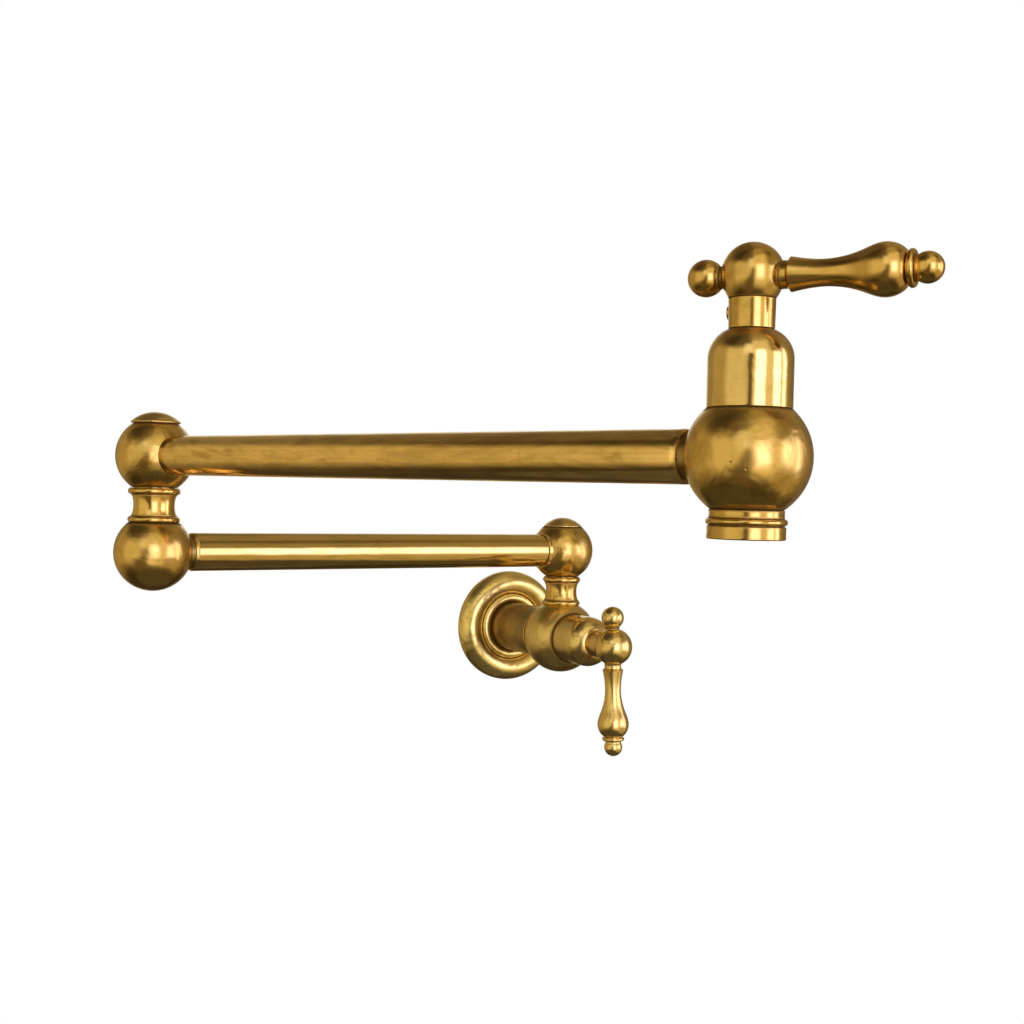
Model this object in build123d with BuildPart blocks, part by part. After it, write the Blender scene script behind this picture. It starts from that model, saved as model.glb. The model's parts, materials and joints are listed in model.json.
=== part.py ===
from build123d import *
import os
from math import asin, cos, degrees, radians, sin, sqrt

# Wall mounted pot filler: two folding arms between a valve at the wall and a valve at the outlet.
# Millimetres. The origin is the middle of the inlet's mouth, on the wall plane. +Z is up, and the
# tap stands out from the wall towards -Y. Arms and levers stand as they do in the photograph.

# Stance and reach
wall_to_valve = 65.0  # wall plane to the middle of the wall valve
wall_swivel_height = 48.0  # wall valve to the middle of the first arm's ball
elbow_height = 44.6  # lower to upper ball of the elbow
first_arm_reach = 238.0  # swivel axis to swivel axis
second_arm_reach = 319.0  # elbow axis to outlet axis
first_arm_heading = 187.6  # degrees from +X, seen from above
second_arm_heading = -69.5
outlet_lever_heading = -55.5
wall_lever_lean = 2.0  # degrees from plumb, towards +X

# Balls
valve_ball_radius = 20.0
first_ball_radius = 17.0
elbow_ball_radius = 17.9

# Clearances
fit_gap = 0.05  # radial, between pieces that are screwed or pushed together
running_gap = 0.05  # radial, between a journal and its bore
turning_gap = 0.2  # along an axis, between faces that turn past each other

# Tubes and the necks that hold them
tube_radius = 9.0
tube_wall = 1.5
tube_edge = 0.4  # bevel round a tube's end
socket_wall = 2.5  # metal between a swivel's water chamber and the tube's seat
neck_radius = 8.0
elbow_neck_length = 1.8
outlet_neck_length = 3.2
tube_spigot_length = 8.0
elbow_foot_radius = 0.8  # small flat under the elbow's lower ball
waterway_radius = 4.0
ferrule_radius = 9.9
ferrule_length = 2.0

# Swivels
journal_radius = 7.0
chamber_radius = 9.0  # water chamber round the post's ports
chamber_half_height = 4.5
seal_land = 4.5  # length of bore above and below the chamber
seal_groove_depth = 1.0
seal_groove_width = 2.2
port_radius = 2.8
port_headroom = 0.8  # waterway above the ports
post_thread_radius = 6.45
post_thread_length = 6.5
stud_radius = 4.4
nut_radius = 8.0  # over the corners
nut_height = 2.0
nut_headroom = 0.4
nut_clearance = 0.9
bead_height = 3.0
bead_bulge = 1.0
post_step = 0.9  # thin ring beside each bead
post_step_height = 0.7
post_flare = 0.7  # how much the hollow neck widens to its ends
lower_seat_inset = 0.3  # bead past the flat that it stands on
upper_seat_inset = 1.75
register_inset = 0.7  # flat left round the register, the low step that centres the ball
register_depth = 0.8
wall_bead_radius = 10.5
wall_post_radius = 8.5
elbow_bead_radius = 11.9
elbow_post_radius = 9.35

# Caps on the swivel balls
first_cap_radius = 10.5
first_cap_seat_radius = 10.7
second_cap_radius = 11.3
second_cap_seat_radius = 9.8
cap_rim = 0.9
cap_rise = 4.2

# Wall flange, shank and its ring
flange_radius = 32.4
flange_edge = 1.0
flange_height = 9.8
flange_crest_radius = 26.0
flange_groove_radius = 19.4
flange_groove_height = 6.2
flange_bead_height = 8.4
flange_wall = 1.7
flange_rise = (0.15, 1)  # way of the dome's outline where it leaves the edge
flange_fall = (-0.5, -1)  # and where it reaches the groove
gasket_radius = 19.0
gasket_thickness = 1.5
grip_ring_section = 1.4
grip_ring_height = 3.6
shank_radius = 14.1
shank_spigot_radius = 11.5
shank_spigot_length = 5.5
inlet_radius = 9.5  # minor radius of the half-inch female pipe thread
inlet_depth = 16.0
shank_ring_radius = 15.2
shank_ring_length = 2.2
shank_ring_rounding = 0.4  # share of its length, at each end

# Valve cartridge
cartridge_radius = 9.0
cartridge_waist = 0.6  # depth of the channel round the windows
cartridge_floor = 4.5  # chamber floor behind the ball's middle
cartridge_top_radius = 8.0
cartridge_top = 30.0
hexagon_radius = 11.5  # over the corners
hexagon_height = 3.5
disc_radius = 7.5
disc_thickness = 2.4
disc_port_radius = 2.2
disc_port_offset = 4.2
disc_room = 8.0  # height of the disc chamber's ceiling
window_height = 4.0
window_width = 5.0
window_level = 3.2
claw_radius = 6.5
claw_thickness = 2.0
shoulder_radius = 5.0
spindle_radius = 3.0
seal_inner_radius = 4.5

# Bonnet
bonnet_radius = 13.4
bonnet_wall = 1.2
bonnet_bevel = 0.4
bonnet_straight = 15.3
bonnet_dome_radius = 9.9
bonnet_thread_start = 25.0
bonnet_crown = 1.2  # metal over the cartridge's top
collar_radius = 7.2

# Handle
collar_flare = 0.15
collar_height = 9.6
hub_radius = 9.8
hub_drop = 11.4  # half height of the hub's lower, fuller half
handle_thread_radius = 2.5
handle_thread_length = 5.0
set_screw_level = 5.2  # above the collar's foot
set_screw_radius = 1.5
set_screw_head_radius = 2.3
set_screw_head_height = 0.8
set_screw_seat = 0.3  # how deep the head's flat is cut into the collar
spindle_headroom = 0.3
spindle_cover = 0.25  # metal between the spindle's bore and the lever's thread
lever_drop = 0.8  # lever's axis, below the middle of the hub's ball
lever_stem_radius = 4.4
lever_stem_length = 2.6
lever_bevel = 1.0
lever_root_radius = 5.45
lever_waist_radius = 4.2
lever_root_to_waist = 9.3
lever_waist_to_flank = 11.9
lever_flank_radius = 6.15
lever_flank_to_bulb = 7.7
lever_bulb_radius = 8.25
lever_bulb_to_end = 6.0
lever_bulb_end_radius = 5.1
lever_ring_gap = 0.4
lever_ring_radius = 5.85
lever_ring_height = 1.9
lever_ring_crown = 0.5  # how far the ring's rounded edge swells
lever_groove_radius = 4.1
lever_tip_radius = 4.8
lever_tip_spacing = 3.5  # ring to the middle of the tip ball
lever_root_way = (-0.2, 1)  # way of the grip's outline at its root
lever_bulb_way = (-1, 0.6)  # and at the end of its bulb
finial_radius = 5.9
finial_neck_radius = 3.6
finial_foot_radius = 4.3
finial_spacing = 15.2  # hub's axis to the finial's middle
finial_neck_start = 1.3

# Nozzle and aerator
nozzle_flat_radius = 11.3  # flat that the nozzle stands on, under the outlet ball
nozzle_neck_radius = 11.75
nozzle_neck_length = 2.6
nozzle_bead_radius = 12.76
nozzle_bead_height = 2.2
nozzle_lip_radius = 12.3
nozzle_lip_gap = 0.3
nozzle_lip_length = 4.1
nozzle_thread_radius = 9.5
nozzle_thread_length = 6.0
nozzle_bore_radius = 6.5
aerator_radius = 9.5
aerator_depth = 8.0  # from the lip's end up to the washer's seat
aerator_washer_thickness = 1.4
aerator_height = 3.0
aerator_wall = 1.3
aerator_screen_thickness = 1.0
aerator_hole_radius = 0.8
aerator_inner_holes = 6
aerator_inner_ring = 2.8  # radius that the holes stand on
aerator_outer_holes = 12
aerator_outer_ring = 5.6

os.makedirs("parts", exist_ok=True)

# Places and directions
up = Vector(0, 0, 1)
out_from_wall = Vector(0, -1, 0)


def heading(angle):
    """Level direction at an angle from +X."""
    return Vector(cos(radians(angle)), sin(radians(angle)), 0)


first_arm_way = heading(first_arm_heading)
second_arm_way = heading(second_arm_heading)

inlet = Plane(origin=(0, 0, 0), x_dir=(1, 0, 0), z_dir=out_from_wall)
wall_lever_way = Vector(sin(radians(wall_lever_lean)), 0, -cos(radians(wall_lever_lean)))
wall_valve = Plane(
    origin=out_from_wall * wall_to_valve, x_dir=wall_lever_way, z_dir=out_from_wall
)
wall_swivel = Plane(
    origin=wall_valve.origin + up * wall_swivel_height, x_dir=first_arm_way, z_dir=up
)
first_arm = Plane(origin=wall_swivel.origin, x_dir=up, z_dir=first_arm_way)
elbow_base = Plane(
    origin=first_arm.origin + first_arm_way * first_arm_reach, x_dir=first_arm_way, z_dir=up
)
elbow_swivel = Plane(
    origin=elbow_base.origin + up * elbow_height, x_dir=second_arm_way, z_dir=up
)
second_arm = Plane(origin=elbow_swivel.origin, x_dir=up, z_dir=second_arm_way)
outlet_valve = Plane(
    origin=second_arm.origin + second_arm_way * second_arm_reach,
    x_dir=heading(outlet_lever_heading),
    z_dir=up,
)

# Sizes that follow from the ones above
inner_tube_radius = tube_radius - tube_wall
bonnet_seat = sqrt(valve_ball_radius**2 - bonnet_radius**2)
shank_seat = sqrt(valve_ball_radius**2 - shank_radius**2)
shank_length = wall_to_valve - shank_seat
nozzle_seat = sqrt(valve_ball_radius**2 - nozzle_flat_radius**2)
elbow_foot = sqrt(elbow_ball_radius**2 - elbow_foot_radius**2)
chamber_bore = cartridge_radius + fit_gap
bonnet_shoulder = bonnet_seat + bonnet_straight
dome_middle = bonnet_radius - bonnet_dome_radius
bonnet_top = bonnet_shoulder + sqrt(bonnet_dome_radius**2 - (collar_radius - dome_middle) ** 2)
collar_foot = bonnet_top + turning_gap
collar_top = collar_foot + collar_height
collar_top_radius = collar_radius + collar_flare
hub_middle = collar_top + hub_drop * sqrt(1 - (collar_top_radius / hub_radius) ** 2)
handle_flat = sqrt(hub_radius**2 - lever_stem_radius**2)
lever_level = hub_middle - lever_drop
spindle_bore_end = lever_level - handle_thread_radius - fit_gap - spindle_cover
spindle_top = spindle_bore_end - spindle_headroom
wall_post_seat = sqrt(valve_ball_radius**2 - (wall_bead_radius - lower_seat_inset) ** 2)
elbow_post_seat = sqrt(elbow_ball_radius**2 - (elbow_bead_radius - lower_seat_inset) ** 2)
shelf = chamber_half_height + seal_land
journal_top = shelf + turning_gap
nut_top = journal_top + nut_height
cap_bore_radius = nut_radius + nut_clearance
tube_seat = chamber_radius + socket_wall
first_tube_end = sqrt(elbow_ball_radius**2 - neck_radius**2) + elbow_neck_length
second_tube_end = sqrt(valve_ball_radius**2 - neck_radius**2) + outlet_neck_length
ferrule_seat = sqrt(first_ball_radius**2 - ferrule_radius**2)


def outline_plane(frame):
    """Plane for a turned outline: radius across, distance along the frame's axis up."""
    return Plane(origin=frame.origin, x_dir=frame.x_dir, z_dir=-frame.y_dir)


def turning_axis(frame):
    """Axis that a frame's outlines turn round."""
    return Axis(frame.origin, frame.z_dir)


def side_plane(frame, way, level=0.0):
    """Plane that faces sideways from a frame's axis, at a level along it."""
    return Plane(origin=frame.origin + frame.z_dir * level, x_dir=frame.z_dir, z_dir=way)


def bore(frame, radius, start, end):
    """Round hole along a frame's axis."""
    with BuildSketch(frame.offset(start)) as mouth:
        Circle(radius)
    extrude(mouth.sketch, amount=end - start, mode=Mode.SUBTRACT)


def ring(frame, outer, inner, start, end):
    """Plain ring along a frame's axis."""
    with BuildSketch(frame.offset(start)) as section:
        Circle(outer)
        Circle(inner, mode=Mode.SUBTRACT)
    extrude(section.sketch, amount=end - start)


def flat_ball(frame, radius, foot, top):
    """Ball that is cut flat below and above its middle."""
    low = degrees(asin(foot / radius))
    high = degrees(asin(top / radius))
    with BuildSketch(outline_plane(frame)) as section:
        with BuildLine():
            side = CenterArc((0, 0), radius, -low, low + high)
            Polyline(side @ 1, (0, top), (0, -foot), side @ 0)
        make_face()
    revolve(section.sketch, axis=turning_axis(frame))


def tube_holder(way, tube_end):
    """Neck that shows past a tube's end, and the hollow spigot inside the tube."""
    with BuildSketch(way) as neck:
        Circle(neck_radius)
    extrude(neck.sketch, amount=tube_end)
    with BuildSketch(way.offset(tube_end)) as spigot:
        Circle(inner_tube_radius - fit_gap)
    extrude(spigot.sketch, amount=tube_spigot_length)
    bore(way, waterway_radius, 0, tube_end + tube_spigot_length)


def rim_edges(piece):
    """The two widest circles of a ring or a tube."""
    return piece.edges().filter_by(GeomType.CIRCLE).sort_by(SortBy.RADIUS)[-2:]


def save(piece, label):
    """Name a finished piece and write its file."""
    piece.part.label = label
    export_step(piece.part, f"parts/{label}.step")


# Wall flange: a domed rose with a groove and an inner bead, hollow behind its dome
with BuildPart() as wall_flange:
    flange_bore = shank_radius + fit_gap
    bead_middle = (flange_groove_radius + flange_bore) / 2
    with BuildSketch(outline_plane(inlet)):
        with BuildLine():
            outer_dome = Spline(
                (flange_radius, flange_edge),
                (flange_crest_radius, flange_height),
                (flange_groove_radius, flange_groove_height),
                tangents=[flange_rise, flange_fall],
            )
            inner_bead = ThreePointArc(
                outer_dome @ 1,
                (bead_middle, flange_bead_height),
                (flange_bore, flange_groove_height),
            )
            Polyline(
                inner_bead @ 1,
                (flange_bore, gasket_thickness),
                (gasket_radius, gasket_thickness),
                (gasket_radius, flange_groove_height - flange_wall),
                (flange_crest_radius, flange_height - flange_wall),
                (flange_radius - flange_wall, flange_edge),
                (flange_radius - flange_wall, 0),
                (flange_radius, 0),
                outer_dome @ 0,
            )
        make_face()
    revolve(axis=turning_axis(inlet))
    bore(
        inlet,
        flange_bore + grip_ring_section,
        grip_ring_height - grip_ring_section / 2 - fit_gap,
        grip_ring_height + grip_ring_section / 2 + fit_gap,
    )
save(wall_flange, "wall_flange")

# Gasket between the flange's hub and the wall
with BuildPart() as flange_gasket:
    ring(inlet, gasket_radius, flange_bore, 0, gasket_thickness)
save(flange_gasket, "flange_gasket")

# Rubber ring that grips the shank, in the flange's bore
with BuildPart() as flange_grip_ring:
    with BuildSketch(outline_plane(inlet)):
        with Locations((flange_bore + grip_ring_section / 2, grip_ring_height)):
            Circle(grip_ring_section / 2 - fit_gap / 2)
    revolve(axis=turning_axis(inlet))
save(flange_grip_ring, "flange_grip_ring")

# Inlet shank: female pipe thread at the wall, spigot in the valve ball
with BuildPart() as inlet_shank:
    spigot_end = shank_length + shank_spigot_length
    with BuildSketch(outline_plane(inlet)):
        with BuildLine():
            Polyline(
                (waterway_radius, inlet_depth),
                (inlet_radius, inlet_depth),
                (inlet_radius, 0),
                (shank_radius, 0),
                (shank_radius, shank_length),
                (shank_spigot_radius, shank_length),
                (shank_spigot_radius, spigot_end),
                (waterway_radius, spigot_end),
                close=True,
            )
        make_face()
    revolve(axis=turning_axis(inlet))
save(inlet_shank, "inlet_shank")

# Thin round-edged ring on the shank, against the valve ball
with BuildPart() as shank_ring:
    ring_foot = shank_length - shank_ring_length
    ring(inlet, shank_ring_radius, shank_radius + fit_gap, ring_foot, shank_length)
    fillet(rim_edges(shank_ring), shank_ring_length * shank_ring_rounding)
save(shank_ring, "shank_ring")

# Ball body of the wall valve: water enters from behind and leaves upwards
with BuildPart() as wall_valve_body:
    post_way = Plane(origin=wall_valve.origin, x_dir=out_from_wall, z_dir=up)
    flat_ball(wall_valve, valve_ball_radius, shank_seat, bonnet_seat)
    split(bisect_by=post_way.offset(wall_post_seat), keep=Keep.BOTTOM)
    bore(wall_valve, chamber_bore, -cartridge_floor, bonnet_seat)
    bore(wall_valve, shank_spigot_radius + fit_gap, -shank_seat, shank_spigot_length - shank_seat)
    bore(wall_valve, waterway_radius, -shank_seat, 0)
    bore(post_way, waterway_radius, 0, wall_post_seat)
    bore(
        post_way,
        post_thread_radius + fit_gap,
        wall_post_seat - post_thread_length - fit_gap,
        wall_post_seat,
    )
save(wall_valve_body, "wall_valve_body")

# Ball body of the outlet valve: water enters from the arm and leaves downwards
with BuildPart() as outlet_valve_body:
    arm_way = Plane(origin=outlet_valve.origin, x_dir=up, z_dir=-second_arm_way)
    flat_ball(outlet_valve, valve_ball_radius, nozzle_seat, bonnet_seat)
    tube_holder(arm_way, second_tube_end)
    bore(outlet_valve, chamber_bore, -cartridge_floor, bonnet_seat)
    bore(outlet_valve, waterway_radius, -nozzle_seat, 0)
    bore(
        outlet_valve,
        nozzle_thread_radius + fit_gap,
        -nozzle_seat,
        nozzle_thread_length + fit_gap - nozzle_seat,
    )
save(outlet_valve_body, "outlet_valve_body")

for side, valve in (("wall", wall_valve), ("outlet", outlet_valve)):
    outline = outline_plane(valve)
    axis = turning_axis(valve)
    hexagon_top = bonnet_seat + hexagon_height
    spindle_bore = spindle_radius + running_gap

    # Bonnet: straight sleeve under a round shoulder, screwed on the cartridge
    with BuildPart() as bonnet:
        thread_bore = cartridge_top_radius + fit_gap
        cavity = bonnet_radius - bonnet_wall
        with BuildSketch(outline):
            with BuildLine():
                dome_end = degrees(asin((bonnet_top - bonnet_shoulder) / bonnet_dome_radius))
                dome = CenterArc((dome_middle, bonnet_shoulder), bonnet_dome_radius, 0, dome_end)
                Polyline(
                    dome @ 1,
                    (spindle_bore + bonnet_wall, bonnet_top),
                    (spindle_bore + bonnet_wall, cartridge_top + bonnet_crown),
                    (thread_bore, cartridge_top + bonnet_crown),
                    (thread_bore, bonnet_thread_start),
                    (cavity, bonnet_thread_start),
                    (cavity, bonnet_seat),
                    (bonnet_radius - bonnet_bevel, bonnet_seat),
                    (bonnet_radius, bonnet_seat + bonnet_bevel),
                    dome @ 0,
                )
            make_face()
        revolve(axis=axis)
    save(bonnet, f"{side}_bonnet")

    # Cartridge: disc chamber with windows, hexagon on the ball's flat, spindle gland above
    with BuildPart() as cartridge:
        disc_bore = disc_radius + running_gap
        channel = cartridge_radius - cartridge_waist
        channel_top = window_level + window_height
        with BuildSketch(outline):
            with BuildLine():
                Polyline(
                    (spindle_bore, disc_room),
                    (disc_bore, disc_room),
                    (disc_bore, -disc_thickness),
                    (cartridge_radius, -disc_thickness),
                    (cartridge_radius, 0),
                    (channel, 0),
                    (channel, channel_top),
                    (cartridge_radius, channel_top),
                    (cartridge_radius, bonnet_seat),
                    (cartridge_top_radius, bonnet_seat),
                    (cartridge_top_radius, cartridge_top),
                    (spindle_bore, cartridge_top),
                    close=True,
                )
            make_face()
        revolve(axis=axis)
        with BuildSketch(valve.offset(bonnet_seat)):
            RegularPolygon(hexagon_radius, 6)
            Circle(spindle_bore, mode=Mode.SUBTRACT)
        extrude(amount=hexagon_height)
        for way in (valve.x_dir, valve.y_dir):
            with BuildSketch(side_plane(valve, way, window_level)):
                Rectangle(window_height, window_width)
            extrude(amount=cartridge_radius, both=True, mode=Mode.SUBTRACT)
    save(cartridge, f"{side}_cartridge")

    # Rubber seal between the cartridge's fixed disc and the chamber's floor
    with BuildPart() as cartridge_seal:
        ring(valve, cartridge_radius - fit_gap, seal_inner_radius, -cartridge_floor, -disc_thickness)
    save(cartridge_seal, f"{side}_cartridge_seal")

    # Fixed ceramic disc with two ports
    with BuildPart() as fixed_disc:
        with BuildSketch(valve.offset(-disc_thickness)):
            Circle(disc_radius)
            with PolarLocations(disc_port_offset, 2):
                Circle(disc_port_radius, mode=Mode.SUBTRACT)
        extrude(amount=disc_thickness)
    save(fixed_disc, f"{side}_fixed_disc")

    # Moving ceramic disc: its two notches stand a quarter turn from the ports, so the tap is shut
    with BuildPart() as moving_disc:
        with BuildSketch(valve):
            Circle(disc_radius)
            with PolarLocations(disc_radius, 2, start_angle=90):
                SlotOverall(
                    (disc_radius - disc_port_offset + disc_port_radius) * 2,
                    disc_port_radius * 2,
                    mode=Mode.SUBTRACT,
                )
        extrude(amount=disc_thickness)
    save(moving_disc, f"{side}_moving_disc")

    # Spindle with the claw that turns the moving disc
    with BuildPart() as spindle:
        claw_top = disc_thickness + claw_thickness
        with BuildSketch(outline):
            with BuildLine():
                Polyline(
                    (0, disc_thickness),
                    (claw_radius, disc_thickness),
                    (claw_radius, claw_top),
                    (shoulder_radius, claw_top),
                    (shoulder_radius, disc_room - turning_gap),
                    (spindle_radius, disc_room - turning_gap),
                    (spindle_radius, spindle_top),
                    (0, spindle_top),
                    close=True,
                )
            make_face()
        revolve(axis=axis)
    save(spindle, f"{side}_spindle")

    # Handle hub: collar below, ball above with a fuller lower half, bored for the spindle
    lever_way = Plane(
        origin=valve.origin + valve.z_dir * lever_level, x_dir=valve.z_dir, z_dir=valve.x_dir
    )
    finial_way = Plane(origin=lever_way.origin, x_dir=valve.z_dir, z_dir=-valve.x_dir)
    screw_way = side_plane(valve, -valve.x_dir, collar_foot + set_screw_level)
    screw_seat = collar_radius - set_screw_seat
    with BuildPart() as hub:
        with BuildSketch(outline):
            with BuildLine():
                widening = asin((hub_middle - collar_top) / hub_drop)
                bowl = Spline(
                    (collar_top_radius, collar_top),
                    (hub_radius, hub_middle),
                    tangents=[(hub_radius * sin(widening), hub_drop * cos(widening)), (0, 1)],
                )
                crown = CenterArc((0, hub_middle), hub_radius, 0, 90)
                Polyline(
                    crown @ 1,
                    (0, spindle_bore_end),
                    (spindle_radius + fit_gap, spindle_bore_end),
                    (spindle_radius + fit_gap, collar_foot),
                    (collar_radius, collar_foot),
                    bowl @ 0,
                )
            make_face()
        revolve(axis=axis)
        for way in (lever_way, finial_way):
            split(bisect_by=way.offset(handle_flat), keep=Keep.BOTTOM)
            bore(
                way,
                handle_thread_radius + fit_gap,
                handle_flat - handle_thread_length - fit_gap,
                handle_flat,
            )
        bore(screw_way, set_screw_radius + fit_gap, 0, hub_radius)
        bore(screw_way, set_screw_head_radius + fit_gap, screw_seat, hub_radius)
    save(hub, f"{side}_handle_hub")

    # Set screw that holds the hub on the spindle
    with BuildPart() as set_screw:
        with BuildSketch(screw_way.offset(spindle_radius + fit_gap)):
            Circle(set_screw_radius)
        extrude(amount=screw_seat - spindle_radius - fit_gap)
        with BuildSketch(screw_way.offset(screw_seat)):
            Circle(set_screw_head_radius)
        extrude(amount=set_screw_head_height)
        fillet(
            set_screw.edges().sort_by(Axis(screw_way.origin, screw_way.z_dir))[-1],
            set_screw_head_height / 2,
        )
    save(set_screw, f"{side}_set_screw")

    # Lever: stem, waisted grip that swells to a bulb, thin ring and ball tip
    with BuildPart() as lever:
        stem_end = handle_flat + lever_stem_length
        root = stem_end + lever_bevel
        waist = root + lever_root_to_waist
        flank = waist + lever_waist_to_flank
        bulb = flank + lever_flank_to_bulb
        bulb_end = bulb + lever_bulb_to_end
        ring_start = bulb_end + lever_ring_gap
        ring_end = ring_start + lever_ring_height
        tip_middle = ring_end + lever_tip_spacing
        tip_angle = degrees(asin(lever_groove_radius / lever_tip_radius))
        with BuildSketch(outline_plane(lever_way)):
            with BuildLine():
                grip = Spline(
                    (lever_root_radius, root),
                    (lever_waist_radius, waist),
                    (lever_flank_radius, flank),
                    (lever_bulb_radius, bulb),
                    (lever_bulb_end_radius, bulb_end),
                    tangents=[lever_root_way, lever_bulb_way],
                )
                ring_edge = ThreePointArc(
                    (lever_ring_radius - lever_ring_crown, ring_start),
                    (lever_ring_radius, (ring_start + ring_end) / 2),
                    (lever_ring_radius - lever_ring_crown, ring_end),
                )
                tip = CenterArc((0, tip_middle), lever_tip_radius, tip_angle - 90, 180 - tip_angle)
                Polyline(
                    grip @ 0,
                    (lever_stem_radius, stem_end),
                    (lever_stem_radius, handle_flat),
                    (handle_thread_radius, handle_flat),
                    (handle_thread_radius, handle_flat - handle_thread_length),
                    (0, handle_flat - handle_thread_length),
                    tip @ 1,
                )
                Polyline(
                    grip @ 1,
                    (lever_groove_radius, bulb_end),
                    (lever_groove_radius, ring_start),
                    ring_edge @ 0,
                )
                Polyline(ring_edge @ 1, (lever_groove_radius, ring_end), tip @ 0)
            make_face()
        revolve(axis=turning_axis(lever_way))
    save(lever, f"{side}_lever")

    # Finial: ball on a short waisted neck, opposite the lever
    with BuildPart() as finial:
        finial_angle = degrees(asin(finial_neck_radius / finial_radius))
        with BuildSketch(outline_plane(finial_way)):
            with BuildLine():
                ball_side = CenterArc(
                    (0, finial_spacing), finial_radius, finial_angle - 90, 180 - finial_angle
                )
                Polyline(
                    ball_side @ 0,
                    (finial_neck_radius, handle_flat + finial_neck_start),
                    (finial_foot_radius, handle_flat),
                    (handle_thread_radius, handle_flat),
                    (handle_thread_radius, handle_flat - handle_thread_length),
                    (0, handle_flat - handle_thread_length),
                    ball_side @ 1,
                )
            make_face()
        revolve(axis=turning_axis(finial_way))
    save(finial, f"{side}_finial")

# Elbow's lower ball, at the end of the first arm
with BuildPart() as elbow_lower_ball:
    back_way = Plane(origin=elbow_base.origin, x_dir=up, z_dir=-first_arm_way)
    flat_ball(elbow_base, elbow_ball_radius, elbow_foot, elbow_post_seat)
    tube_holder(back_way, first_tube_end)
    bore(elbow_base, waterway_radius, 0, elbow_post_seat)
    bore(
        elbow_base,
        post_thread_radius + fit_gap,
        elbow_post_seat - post_thread_length - fit_gap,
        elbow_post_seat,
    )
save(elbow_lower_ball, "elbow_lower_ball")

swivels = (
    (
        "wall_swivel",
        "first_arm",
        wall_swivel,
        first_arm,
        first_ball_radius,
        wall_post_seat - wall_swivel_height,
        wall_bead_radius,
        wall_post_radius,
        first_cap_radius,
        first_cap_seat_radius,
    ),
    (
        "elbow_swivel",
        "second_arm",
        elbow_swivel,
        second_arm,
        elbow_ball_radius,
        elbow_post_seat - elbow_height,
        elbow_bead_radius,
        elbow_post_radius,
        second_cap_radius,
        second_cap_seat_radius,
    ),
)

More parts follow.
